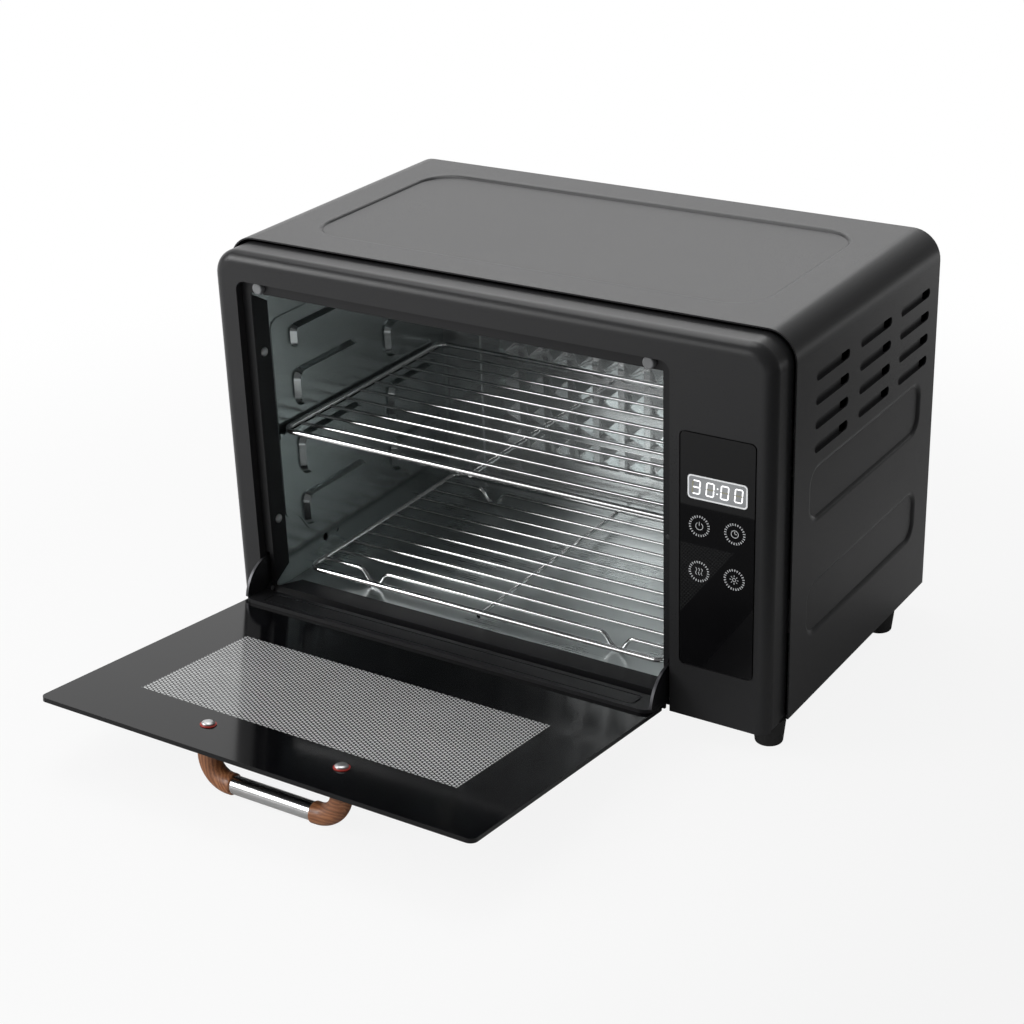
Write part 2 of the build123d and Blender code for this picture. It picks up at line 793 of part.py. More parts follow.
# Right cavity wall with the fan grille
probe_z = floor_z + probe_share * cavity_height
with BuildPart() as cavity_right_wall:
    block(wall_right, outer_right, frame_back, cavity_end, floor_z, ceiling_z)
    with BuildSketch(side(wall_right)):
        Polygon(*field, align=None)
        fillet(vertices(), field_corner)
    extrude(amount=-field_raise)
    with BuildSketch(side(wall_right)):
        for place, length, height in pockets[0]:
            with Locations(place):
                RectangleRounded(length, height, emboss_corner_share * height)
    extrude(amount=-emboss_raise, taper=emboss_slope)
    block(outer_right, outer_right + spring_tab_reach, spring_tab_depth, spring_tab_depth + sheet, tab_z,
          tab_z + spring_tab_rise)
    rod(spot(mirrored(spring_x), spring_tab_depth, spring_z),
        spot(mirrored(spring_x), spring_tab_depth + sheet, spring_z), spring_tab_hole, Mode.SUBTRACT)
    for z in frame_screw_heights:
        rod(spot(wall_right, frame_screw_depth, z), spot(outer_right, frame_screw_depth, z),
            small_screw_radius + screw_fit, Mode.SUBTRACT)
    with BuildSketch(side(outer_right)):
        with Locations((fan_depth, fan_z)):
            Circle(grille_hole)
            for ring, share in enumerate(grille_rings_shares, 1):
                with PolarLocations(share * grille_radius, ring * grille_ring_holes):
                    Circle(grille_hole)
        with Locations((fan_depth, probe_z)):
            Circle(probe_radius + probe_fit)
    extrude(amount=-sheet - field_raise, mode=Mode.SUBTRACT)
cavity_right_wall.part.label = "cavity_right_wall"

# Rails under the upper rack
rail_z = floor_z + rail_share * cavity_height
rail_left = wall_left + field_raise
rail_right = wall_right - field_raise
with BuildPart() as rack_rail_left:
    block(rail_left, rail_left + rail_width, field_start, field_stop, rail_z - sheet, rail_z)
    block(rail_left, rail_left + sheet, field_start, field_stop, rail_z - rail_leg, rail_z)
rack_rail_left.part.label = "rack_rail_left"
with BuildPart() as rack_rail_right:
    block(rail_right - rail_width, rail_right, field_start, field_stop, rail_z - sheet, rail_z)
    block(rail_right - sheet, rail_right, field_start, field_stop, rail_z - rail_leg, rail_z)
rack_rail_right.part.label = "rack_rail_right"

# Cavity ceiling
with BuildPart() as cavity_ceiling:
    block(outer_left, outer_right, frame_back, cavity_end, ceiling_z, ceiling_z + sheet)
cavity_ceiling.part.label = "cavity_ceiling"

# Cavity floor
with BuildPart() as cavity_floor:
    block(outer_left, outer_right, frame_back, cavity_end, base_top, floor_z)
cavity_floor.part.label = "cavity_floor"

# Rear reflector
pyramid_slope = math.degrees(math.atan2(pyramid_width / 2 - pyramid_tip, pyramid_raise))
with BuildPart() as rear_reflector:
    block(wall_left, wall_right, rear_depth, cavity_end, floor_z, ceiling_z)
    with BuildSketch(upright(rear_depth)):
        with Locations((opening_mid, (floor_z + ceiling_z) / 2 + pyramid_lift)):
            with GridLocations(pyramid_pitch_x, pyramid_pitch_z, pyramid_columns, pyramid_rows):
                Rectangle(pyramid_width, pyramid_height)
    extrude(amount=pyramid_raise, taper=pyramid_slope)
    for x in (wall_left + seam_inset, wall_right - seam_inset - seam_width):
        block(x, x + seam_width, rear_depth - seam_raise, rear_depth, floor_z, ceiling_z)
rear_reflector.part.label = "rear_reflector"

# Door bumpers
bumper_z = (clear_top + opening_top) / 2
bumper_front = hinge_depth - glass_drop + contact_gap
bumpers = {}
for name, x in (("left", clear_left + bumper_inset), ("right", clear_right - bumper_inset)):
    with BuildPart() as bumper:
        rod(spot(x, bumper_front, bumper_z), spot(x, frame_front, bumper_z), bumper_radius)
        fillet(edges().group_by(Axis.Y)[0], bumper_edge)
    bumper.part.label = "bumper_" + name
    bumpers[name] = bumper.part

# Door switch
switch_end = frame_back + switch_depth
plunger_end = bumper_front + plunger_length
with BuildPart() as door_switch:
    block(switch_x - switch_width / 2, switch_x + switch_width / 2, frame_back, switch_end,
          switch_z - switch_height / 2, switch_z + switch_height / 2)
    rod(spot(switch_x, frame_back, switch_z), spot(switch_x, plunger_end + plunger_travel + contact_gap,
                                                   switch_z),
        plunger_radius + plunger_fit, Mode.SUBTRACT)
door_switch.part.label = "door_switch"

# Switch plunger
with BuildPart() as switch_plunger:
    rod(spot(switch_x, bumper_front, switch_z), spot(switch_x, plunger_end, switch_z), plunger_radius)
    fillet(edges().group_by(Axis.Y)[0], plunger_edge)
switch_plunger.part.label = "switch_plunger"

# Hinge pins, held in the ears
pin_out = arm_left - pin_overhang
pin_in = ear_inner + pin_overhang
with BuildPart() as hinge_pin_left:
    rod(spot(pin_out, hinge_depth, hinge_z), spot(pin_in, hinge_depth, hinge_z), pin_radius)
hinge_pin_left.part.label = "hinge_pin_left"
with BuildPart() as hinge_pin_right:
    rod(spot(mirrored(pin_in), hinge_depth, hinge_z), spot(mirrored(pin_out), hinge_depth, hinge_z),
        pin_radius)
hinge_pin_right.part.label = "hinge_pin_right"

# Door springs, close wound, each hooked behind its arm and to a tab of the cavity wall
turns = [spring_coil_depth + index * spring_pitch for index in range(spring_turns)]
coil_end = turns[-1]
springs = {}
for name, x in (("left", spring_x), ("right", mirrored(spring_x))):
    with BuildPart() as spring:
        with BuildSketch(side(x)):
            with Locations(*[(depth, spring_z + spring_radius) for depth in turns]):
                Circle(spring_wire)
            with Locations(((spring_coil_depth + coil_end) / 2, spring_z + spring_radius)):
                Rectangle(coil_end - spring_coil_depth, spring_wire)
            with Locations(*[(depth, spring_z + spring_radius / 2)
                             for depth in (spring_coil_depth, coil_end)]):
                Rectangle(spring_wire, spring_radius)
        revolve(axis=Axis(spot(x, 0, spring_z), (0, 1, 0)))
        rod(spot(x, spring_start, spring_z), spot(x, spring_coil_depth, spring_z), spring_wire)
        rod(spot(x, coil_end, spring_z), spot(x, spring_tab_depth + sheet + screw_tail, spring_z),
            spring_wire)
    spring.part.label = "hinge_spring_" + name
    springs[name] = spring.part

# Lamp
lamp_z = ceiling_z - lamp_drop
lamp_start = opening_mid - lamp_length / 2
lamp_end = opening_mid + lamp_length / 2
lamp_pins = [(lamp_depth + sign * lamp_pin_pitch / 2) for sign in (-1, 1)]
with BuildPart() as uv_lamp:
    rod(spot(lamp_start, lamp_depth, lamp_z), spot(lamp_end, lamp_depth, lamp_z), lamp_radius)
    rod(spot(lamp_start, lamp_depth, lamp_z), spot(lamp_start + lamp_cap, lamp_depth, lamp_z),
        lamp_cap_radius)
    rod(spot(lamp_end - lamp_cap, lamp_depth, lamp_z), spot(lamp_end, lamp_depth, lamp_z), lamp_cap_radius)
    for depth in lamp_pins:
        rod(spot(lamp_start - lamp_pin_reach, depth, lamp_z), spot(lamp_end + lamp_pin_reach, depth, lamp_z),
            lamp_pin_radius)
uv_lamp.part.label = "uv_lamp"

# Lamp holders under the ceiling
holders = {}
for name, x0, x1 in (("left", lamp_start - holder_length, lamp_start),
                     ("right", lamp_end, lamp_end + holder_length)):
    with BuildPart() as holder:
        block(x0, x1, lamp_depth - holder_half, lamp_depth + holder_half, lamp_z - holder_below, ceiling_z)
        for depth in lamp_pins:
            rod(spot(x0, depth, lamp_z), spot(x1, depth, lamp_z), lamp_pin_radius + lamp_pin_fit,
                Mode.SUBTRACT)
    holder.part.label = "lamp_holder_" + name
    holders[name] = holder.part

# Lamp driver on the right cavity wall
driver_z = floor_z + driver_share * cavity_height
with BuildPart() as lamp_driver:
    block(outer_right, outer_right + driver_reach, driver_depth, driver_depth + driver_length, driver_z,
          driver_z + driver_height)
lamp_driver.part.label = "lamp_driver"

# Heater duct between the right cavity wall and the fan
duct_end = outer_right + duct_length
fan_half = fan_side / 2
fan_low = fan_z - fan_half
fan_high = fan_z + fan_half
fan_near = fan_depth - fan_half
fan_far = fan_depth + fan_half
fan_holes = [(fan_depth + sd * fan_hole_pitch / 2, fan_z + sz * fan_hole_pitch / 2)
             for sd in (-1, 1) for sz in (-1, 1)]
with BuildPart() as heater_duct:
    block(outer_right, duct_end, fan_near, fan_far, fan_low, fan_high)
    block(outer_right, duct_end, fan_near + sheet, fan_far - sheet, fan_low + sheet, fan_high - sheet,
          Mode.SUBTRACT)
heater_duct.part.label = "heater_duct"

# Heater element across the duct
heater_x = outer_right + heater_start
heater_end = heater_x + heater_thickness
with BuildPart() as ptc_heater:
    block(heater_x, heater_end, fan_near + sheet, fan_far - sheet, fan_z - heater_height / 2,
          fan_z + heater_height / 2)
    for index in range(heater_fins):
        fin_depth = fan_depth + (index - (heater_fins - 1) / 2) * heater_fin_pitch - heater_fin_gap / 2
        block(heater_x, heater_end, fin_depth, fin_depth + heater_fin_gap,
              fan_z - heater_height / 2 + heater_fin_reach,
              fan_z + heater_height / 2 - heater_fin_reach, Mode.SUBTRACT)
ptc_heater.part.label = "ptc_heater"

# Fan frame with spokes for its motor
fan_end = duct_end + fan_thickness
spoke_x = fan_end - spoke_thickness
motor_x = spoke_x - motor_length
with BuildPart() as fan_frame:
    with BuildSketch(side(duct_end)):
        with Locations((fan_depth, fan_z)):
            RectangleRounded(fan_side, fan_side, fan_corner)
            Circle(fan_bore, mode=Mode.SUBTRACT)
        with Locations(*fan_holes):
            Circle(fan_hole, mode=Mode.SUBTRACT)
    extrude(amount=fan_thickness)
    with BuildSketch(side(spoke_x)):
        with Locations((fan_depth, fan_z)):
            Circle(motor_radius)
            for angle in spoke_angles:
                with PolarLocations((fan_bore + sheet) / 2, 1, angle):
                    Rectangle(fan_bore + sheet, spoke_width)
    extrude(amount=spoke_thickness)
fan_frame.part.label = "fan_frame"

# Fan motor
with BuildPart() as fan_motor:
    rod(spot(motor_x, fan_depth, fan_z), spot(spoke_x, fan_depth, fan_z), motor_radius)
    rod(spot(motor_x, fan_depth, fan_z), spot(motor_x + shaft_reach, fan_depth, fan_z),
        shaft_radius + shaft_fit,
        Mode.SUBTRACT)
fan_motor.part.label = "fan_motor"

# Fan shaft
rotor_x = duct_end + rotor_start
rotor_end = rotor_x + rotor_length
with BuildPart() as fan_shaft:
    rod(spot(rotor_x + sheet, fan_depth, fan_z), spot(motor_x + shaft_reach - contact_gap, fan_depth, fan_z),
        shaft_radius)
fan_shaft.part.label = "fan_shaft"

# Fan impeller
blade_reach_mid = (rotor_radius - blade_root + blade_tip) / 2
with BuildPart() as fan_impeller:
    rod(spot(rotor_x, fan_depth, fan_z), spot(rotor_end, fan_depth, fan_z), rotor_radius)
    with Locations(Plane(origin=spot((rotor_x + rotor_end) / 2, fan_depth, fan_z), x_dir=(0, 1, 0),
                         z_dir=(1, 0, 0))):
        with PolarLocations(blade_reach_mid, blade_count):
            Box(blade_tip - rotor_radius + blade_root, blade_thickness, blade_chord,
                rotation=(blade_angle, 0, 0))
    rod(spot(rotor_x + sheet, fan_depth, fan_z), spot(rotor_end, fan_depth, fan_z), shaft_radius,
        Mode.SUBTRACT)
fan_impeller.part.label = "fan_impeller"

# Thermal cut-out on the duct
cutout_x = (outer_right + duct_end) / 2
with BuildPart() as thermal_cutout:
    rod(spot(cutout_x, fan_depth, fan_high), spot(cutout_x, fan_depth, fan_high + cutout_height),
        cutout_radius)
thermal_cutout.part.label = "thermal_cutout"

# Temperature probe through the right cavity wall
with BuildPart() as temperature_probe:
    rod(spot(outer_right - probe_length, fan_depth, probe_z), spot(outer_right, fan_depth, probe_z),
        probe_radius)
    rod(spot(outer_right, fan_depth, probe_z), spot(outer_right + probe_nut_height, fan_depth, probe_z),
        probe_nut_radius)
temperature_probe.part.label = "temperature_probe"

# Power board
power_right = half_width - sheet - power_inset
power_left = power_right - power_width
power_z = base_top + standoff_height
power_end = power_depth + power_length
with BuildPart() as power_board:
    block(power_left, power_right, power_depth, power_end, power_z, power_z + board_thickness)
    for x_share, d_share, w_share, l_share, z_share in part_shares:
        x = power_left + x_share * power_width
        depth = power_depth + d_share * power_length
        block(x - w_share * power_width / 2, x + w_share * power_width / 2,
              depth - l_share * power_length / 2,
              depth + l_share * power_length / 2, power_z + board_thickness,
              power_z + board_thickness + z_share * part_height)
power_board.part.label = "power_board"

# Standoffs under the power board
with BuildPart() as power_standoffs:
    for x in (power_left + standoff_inset, power_right - standoff_inset):
        for depth in (power_depth + standoff_inset, power_end - standoff_inset):
            rod(spot(x, depth, base_top), spot(x, depth, power_z), standoff_radius)
power_standoffs.part.label = "power_standoffs"

# Cord gland in the back panel
with BuildPart() as cord_gland:
    rod(spot(gland_x, back_depth - gland_reach, gland_z), spot(gland_x, back_depth + sheet, gland_z),
        gland_body)
    rod(spot(gland_x, back_depth + sheet, gland_z), spot(gland_x, back_depth + sheet + gland_head, gland_z),
        gland_radius)
    rod(spot(gland_x, back_depth - gland_reach, gland_z), spot(gland_x, back_depth + sheet + gland_head,
                                                               gland_z),
        gland_bore, Mode.SUBTRACT)
cord_gland.part.label = "cord_gland"

# Door glass
handle_xs = (opening_mid - handle_pitch / 2, opening_mid + handle_pitch / 2)
glass_start = strip_start + strip_lip
door_mid = (door_left + door_right) / 2
door_width = door_right - door_left
with BuildPart() as door_glass:
    with BuildSketch(door_level(-glass_drop)):
        with Locations((door_mid, -(glass_start + door_reach) / 2)):
            RectangleRounded(door_width, door_reach - glass_start, glass_corner)
        with Locations(*[(x, -handle_s) for x in handle_xs]):
            Circle(handle_hole, mode=Mode.SUBTRACT)
    extrude(amount=-glass_thickness)
door_glass.part.label = "door_glass"

# Hinge strip along the door's lower edge, with a groove round its top
groove_length = door_width - 2 * groove_end
groove_span = strip_end - strip_start - 2 * groove_inset
groove_corner = strip_corner - groove_inset
with BuildPart() as door_hinge_strip:
    with BuildSketch(door_level(-glass_drop)):
        with Locations((door_mid, -(strip_start + strip_end) / 2)):
            Rectangle(door_width, strip_end - strip_start)
        fillet(vertices().group_by(Axis.Y)[0], strip_corner)
    extrude(amount=glass_drop + strip_raise)
    with BuildSketch(door_level(-glass_drop)):
        with Locations((door_mid, -strip_start - strip_lip / 2)):
            Rectangle(door_width, strip_lip)
    extrude(amount=-glass_thickness)
    with BuildSketch(door_level(strip_raise)):
        with Locations((door_mid, -(strip_start + strip_end) / 2)):
            RectangleRounded(groove_length, groove_span, groove_corner)
            RectangleRounded(groove_length - 2 * groove_width, groove_span - 2 * groove_width,
                             groove_corner - groove_width, mode=Mode.SUBTRACT)
    extrude(amount=-groove_depth, mode=Mode.SUBTRACT)
door_hinge_strip.part.label = "door_hinge_strip"

# Hinge arms: quarter plates that stand on the strip and turn on the pins
arms = {}
for name, x in (("left", arm_inner), ("right", mirrored(arm_left))):
    with BuildPart() as arm:
        with BuildSketch(door_side(x)):
            Circle(arm_radius)
            with Locations(((arm_radius - arm_back) / 2, (arm_radius + strip_raise) / 2)):
                Rectangle(arm_radius + arm_back, arm_radius - strip_raise, mode=Mode.INTERSECT)
            fillet(vertices().group_by(Axis.Y)[-1], arm_corner)
            Circle(hub_radius)
            Circle(pin_radius + pin_fit, mode=Mode.SUBTRACT)
        extrude(amount=arm_thickness)
    arm.part.label = "hinge_arm_" + name
    arms[name] = arm.part

# Handle elbows
handle_axis = -handle_n
elbows = {}
for name, x, sign in (("left", handle_xs[0], 1), ("right", handle_xs[1], -1)):
    foot_point = door_point(x, handle_s, -glass_low)
    corner_point = door_point(x, handle_s, handle_axis)
    end_point = door_point(x + sign * elbow_reach, handle_s, handle_axis)
    with BuildPart() as elbow:
        with BuildLine() as bend:
            FilletPolyline(foot_point, corner_point, end_point, radius=elbow_bend)
        with BuildSketch(Plane(origin=foot_point, z_dir=-inward)):
            Circle(elbow_radius)
        sweep(path=bend.line)
        fillet(edges().filter_by(GeomType.CIRCLE).sort_by_distance(end_point)[0], elbow_edge)
        rod(foot_point, foot_point - inward * (handle_screw_bite + sheet_gap), handle_screw_radius + pin_fit,
            Mode.SUBTRACT)
    elbow.part.label = "handle_elbow_" + name
    elbows[name] = elbow.part

# Handle tube
tube_start = door_point(handle_xs[0] + elbow_reach, handle_s, handle_axis)
tube_end = door_point(handle_xs[1] - elbow_reach, handle_s, handle_axis)
with BuildPart() as handle_tube:
    rod(tube_start, tube_end, tube_radius)
    rod(tube_start, tube_end, tube_radius - tube_wall, Mode.SUBTRACT)
handle_tube.part.label = "handle_tube"

# Handle washers on the inner side of the glass
washer_top = washer_thickness - glass_drop
with BuildPart() as handle_washers:
    for x in handle_xs:
        rod(door_point(x, handle_s, -glass_drop), door_point(x, handle_s, washer_top), washer_radius)
        rod(door_point(x, handle_s, -glass_drop), door_point(x, handle_s, washer_top), handle_hole,
            Mode.SUBTRACT)
handle_washers.part.label = "handle_washers"

# Handle screws
with BuildPart() as handle_screws:
    for x in handle_xs:
        rod(door_point(x, handle_s, washer_top), door_point(x, handle_s, washer_top + handle_head_height),
            handle_head_radius)
        rod(door_point(x, handle_s, -glass_low - handle_screw_bite), door_point(x, handle_s, washer_top),
            handle_screw_radius)
handle_screws.part.label = "handle_screws"

# Rack places
rack_half = (clear_right - clear_left) / 2 - rack_side_gap - rack_wire
upper_z = rail_z + rack_rest + rack_wire
wire_drop = rack_wire - cross_wire
foot_lean = math.atan2(rack_foot_drop, rack_foot_half)
foot_dip = rack_foot_drop - rack_foot_bend * (1 / math.cos(foot_lean) - 1)
lower_z = floor_z + rack_rest + foot_wire + foot_dip
wire_shares = [index / (cross_wires + 1) for index in range(1, cross_wires + 1)]


def rack_frame(half, front, rear, z):
    """Closed wire frame with rounded corners."""
    corners = [spot(opening_mid + sx * half, depth, z)
               for sx, depth in ((-1, front), (1, front), (1, rear), (-1, rear))]
    with BuildLine() as loop:
        FilletPolyline(*corners, radius=rack_corner, close=True)
    with BuildSketch(Plane(origin=loop.line @ 0, z_dir=loop.line % 0)) as ring:
        Circle(rack_wire)
    sweep(ring.sketch, path=loop.line)


# Upper rack
with BuildPart() as upper_rack:
    rack_frame(rack_half, rack_front, rack_rear, upper_z)
    for share in wire_shares:
        depth = rack_front + share * (rack_rear - rack_front)
        rod(spot(opening_mid - rack_half, depth, upper_z - wire_drop),
            spot(opening_mid + rack_half, depth, upper_z - wire_drop), cross_wire)
    keel_z = upper_z - wire_drop - cross_wire - centre_wire + weld
    rod(spot(opening_mid, rack_front + rack_wire, keel_z), spot(opening_mid, rack_rear - rack_wire, keel_z),
        centre_wire)
upper_rack.part.label = "upper_rack"

# Lower rack with bent feet in its first and last cross wires
with BuildPart() as lower_rack:
    rack_frame(lower_rack_half, lower_rack_front, rack_rear, lower_z)
    rack_span = rack_rear - lower_rack_front
    for share in wire_shares[1:-1]:
        depth = lower_rack_front + share * rack_span
        rod(spot(opening_mid - lower_rack_half, depth, lower_z - wire_drop),
            spot(opening_mid + lower_rack_half, depth, lower_z - wire_drop), cross_wire)
    for share in (wire_shares[0], wire_shares[-1]):
        depth = lower_rack_front + share * rack_span
        trail = [spot(opening_mid - lower_rack_half, depth, lower_z)]
        for sign in (-1, 1):
            foot_mid = opening_mid + sign * rack_foot_pitch / 2
            trail.append(spot(foot_mid - rack_foot_half, depth, lower_z))
            trail.append(spot(foot_mid, depth, lower_z - rack_foot_drop))
            trail.append(spot(foot_mid + rack_foot_half, depth, lower_z))
        trail.append(spot(opening_mid + lower_rack_half, depth, lower_z))
        with BuildLine() as foot_path:
            FilletPolyline(*trail, radius=rack_foot_bend)
        with BuildSketch(Plane(origin=foot_path.line @ 0, z_dir=foot_path.line % 0)):
            Circle(foot_wire)
        sweep(path=foot_path.line)
    keel_z = lower_z - wire_drop - cross_wire - centre_wire + weld
    rod(spot(opening_mid, lower_rack_front, keel_z), spot(opening_mid, rack_rear, keel_z), centre_wire)
lower_rack.part.label = "lower_rack"

# Files
os.makedirs("parts", exist_ok=True)
export_step(outer_shell.part, "parts/outer_shell.step")
export_step(back_panel.part, "parts/back_panel.step")
export_step(back_screws.part, "parts/back_screws.step")
export_step(base_plate.part, "parts/base_plate.step")
export_step(feet["front_left"], "parts/foot_front_left.step")
export_step(feet["front_right"], "parts/foot_front_right.step")
export_step(feet["rear_left"], "parts/foot_rear_left.step")
export_step(feet["rear_right"], "parts/foot_rear_right.step")
export_step(foot_screws.part, "parts/foot_screws.step")
export_step(front_bezel.part, "parts/front_bezel.step")
export_step(control_panel.part, "parts/control_panel.step")
export_step(display_lens.part, "parts/display_lens.step")
export_step(display_module.part, "parts/display_module.step")
export_step(touch_pads.part, "parts/touch_pads.step")
export_step(control_board.part, "parts/control_board.step")
export_step(board_spacers.part, "parts/board_spacers.step")
export_step(front_frame.part, "parts/front_frame.step")
export_step(frame_screws.part, "parts/frame_screws.step")
export_step(cavity_left_wall.part, "parts/cavity_left_wall.step")
export_step(cavity_right_wall.part, "parts/cavity_right_wall.step")
export_step(rack_rail_left.part, "parts/rack_rail_left.step")
export_step(rack_rail_right.part, "parts/rack_rail_right.step")
export_step(cavity_ceiling.part, "parts/cavity_ceiling.step")
export_step(cavity_floor.part, "parts/cavity_floor.step")
export_step(rear_reflector.part, "parts/rear_reflector.step")
export_step(bumpers["left"], "parts/bumper_left.step")
export_step(bumpers["right"], "parts/bumper_right.step")
export_step(door_switch.part, "parts/door_switch.step")
export_step(switch_plunger.part, "parts/switch_plunger.step")
export_step(hinge_pin_left.part, "parts/hinge_pin_left.step")
export_step(hinge_pin_right.part, "parts/hinge_pin_right.step")
export_step(springs["left"], "parts/hinge_spring_left.step")
export_step(springs["right"], "parts/hinge_spring_right.step")
export_step(uv_lamp.part, "parts/uv_lamp.step")
export_step(holders["left"], "parts/lamp_holder_left.step")
export_step(holders["right"], "parts/lamp_holder_right.step")
export_step(lamp_driver.part, "parts/lamp_driver.step")
export_step(heater_duct.part, "parts/heater_duct.step")
export_step(ptc_heater.part, "parts/ptc_heater.step")
export_step(fan_frame.part, "parts/fan_frame.step")
export_step(fan_motor.part, "parts/fan_motor.step")
export_step(fan_shaft.part, "parts/fan_shaft.step")
export_step(fan_impeller.part, "parts/fan_impeller.step")
export_step(thermal_cutout.part, "parts/thermal_cutout.step")
export_step(temperature_probe.part, "parts/temperature_probe.step")
export_step(power_board.part, "parts/power_board.step")
export_step(power_standoffs.part, "parts/power_standoffs.step")
export_step(cord_gland.part, "parts/cord_gland.step")
export_step(door_glass.part, "parts/door_glass.step")
export_step(door_hinge_strip.part, "parts/door_hinge_strip.step")
export_step(arms["left"], "parts/hinge_arm_left.step")
export_step(arms["right"], "parts/hinge_arm_right.step")
export_step(elbows["left"], "parts/handle_elbow_left.step")
export_step(elbows["right"], "parts/handle_elbow_right.step")
export_step(handle_tube.part, "parts/handle_tube.step")
export_step(handle_washers.part, "parts/handle_washers.step")
export_step(handle_screws.part, "parts/handle_screws.step")
export_step(upper_rack.part, "parts/upper_rack.step")
export_step(lower_rack.part, "parts/lower_rack.step")
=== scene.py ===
"""Counter-top steriliser and dryer with a drop-down glass door: finishes, marks, light and camera."""

import json
import math

import bmesh
import bpy
from mathutils import Matrix, Vector


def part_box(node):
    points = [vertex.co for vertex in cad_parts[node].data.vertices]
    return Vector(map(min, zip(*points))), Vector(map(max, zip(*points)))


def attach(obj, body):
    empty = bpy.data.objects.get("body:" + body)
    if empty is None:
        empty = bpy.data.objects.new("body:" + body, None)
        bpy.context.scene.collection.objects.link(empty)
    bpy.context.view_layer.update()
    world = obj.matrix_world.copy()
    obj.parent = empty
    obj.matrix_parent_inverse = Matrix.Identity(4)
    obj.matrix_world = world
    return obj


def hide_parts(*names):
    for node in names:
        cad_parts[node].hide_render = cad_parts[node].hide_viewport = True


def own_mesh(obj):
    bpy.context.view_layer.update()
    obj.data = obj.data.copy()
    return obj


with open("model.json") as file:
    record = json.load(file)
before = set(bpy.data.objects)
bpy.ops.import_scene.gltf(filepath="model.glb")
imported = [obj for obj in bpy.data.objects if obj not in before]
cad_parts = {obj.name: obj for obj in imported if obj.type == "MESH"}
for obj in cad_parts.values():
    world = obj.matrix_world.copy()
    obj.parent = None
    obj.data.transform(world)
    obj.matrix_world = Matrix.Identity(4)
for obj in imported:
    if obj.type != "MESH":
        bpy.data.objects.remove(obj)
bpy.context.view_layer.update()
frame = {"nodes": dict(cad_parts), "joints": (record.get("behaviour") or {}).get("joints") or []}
nodes = frame["nodes"]
hinge_joint = next(joint for joint in frame["joints"] if joint["name"] == "door_hinge")

# Camera
camera_place = Vector((0.702587, -1.044328, 0.703879))
camera_azimuth = math.radians(33.188)
camera_elevation = math.radians(24.852)
camera_roll = math.radians(-1.981)
camera_lens = 74.35
camera_far = 50.0
sensor_width = 36.0

# Door: the hinge line, and the rise of the open door from the hinge to its front edge
hinge = Vector(hinge_joint["pos_m"])
door_tilt = math.radians(90.0 - hinge_joint["range_deg"][1])
door_along = Vector((0.0, -math.cos(door_tilt), math.sin(door_tilt)))
door_inward = Vector((0.0, math.sin(door_tilt), math.cos(door_tilt)))

# Dot field printed on the door
dots_left = -0.146
dots_right = 0.096
dots_near_hinge = 0.077
dots_far = 0.182
dot_pitch = 0.0028
dot_radius_share = 0.36
dot_rim_shares = (0.86, 1.1)

# Front opening
frame_low, frame_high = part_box("front_frame")
opening_middle = (frame_low.x + frame_high.x) / 2

# Control panel: key marks
panel_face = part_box("control_panel")[0].y
mark_thickness = 0.00005
key_columns = (0.16115, 0.18525)
key_rows = (0.1514, 0.1206)
key_ring_radius = 0.0064
key_ring_width = 0.0015
key_ring_dashes = 24
key_dash_share = 0.4
key_dash_steps = 3
symbol_radius = 0.0024
symbol_line = 0.00045

# Display: border and digits
lens_low, lens_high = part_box("display_lens")
lens_face = lens_low.y
lens_centre = (lens_low + lens_high) / 2
border_line = 0.0010
border_corner = 0.0022
border_corner_steps = 8
digit_height = 0.0086
digit_width = 0.0049
digit_stroke = 0.00086
digit_pitch = 0.0094
digit_slant = math.radians(4.0)
stroke_tip_share = 0.12
stroke_shoulder_share = 0.62
colon_room = 0.0004
colon_height_share = 0.2
shown_time = "30:00"

# Handle wood: the middle of its bends, beside the handle's middle and out from the hinge
bend_beside = 0.034
bend_out = -0.02
growth_pitch = 0.0026

# Sheet and fins
sheet_wave = 0.0006
fin_pitch = 0.0022

# Screws: shares of the head's radius and height, the head's outline from its rim to its top
weld_distance = 0.000001
screw_steps = 28
head_height_share = 0.62
head_outline_shares = ((1.0, 1.0), (1.0, 0.6), (0.9, 0.3), (0.62, 0.08), (0.3, 0.01), (0.0, 0.0))
shank_share = 0.5
wing_share = 0.15
recess_share = 0.6
recess_depth_share = 0.45

# Handle screws, out from the hinge and above the hinge line
handle_reach = 0.2
handle_head_radius = 0.0043
handle_head_height = 0.0017
handle_head_top = 0.0003
handle_screw_length = 0.0172

# Soft edges
soft_edge_segments = 2
soft_edge_angle = math.radians(28.0)

# Floor and backdrop: the sides are weights of x and y, the reaches say where a change starts and ends
floor_half = 6.0
shadow_reach = (0.4, 0.9)
shadow_keep = 0.88
back_side = (-0.6, 0.8)
back_reach = (0.2, 0.9)
front_side = (-0.4, -0.9)
front_reach = (0.3, 0.7)
front_white = 0.5
shaded_side = (1.0, -0.1)
shaded_reach = (0.15, 0.55)
sky_reach = (0.42, 0.92)


def rgb(red, green, blue):
    return (red, green, blue, 1.0)


def grey(level):
    return rgb(level, level, level)


def dimmed(colour, share):
    """The colour with a share of its brightness."""
    return rgb(*(channel * share for channel in colour[:3]))


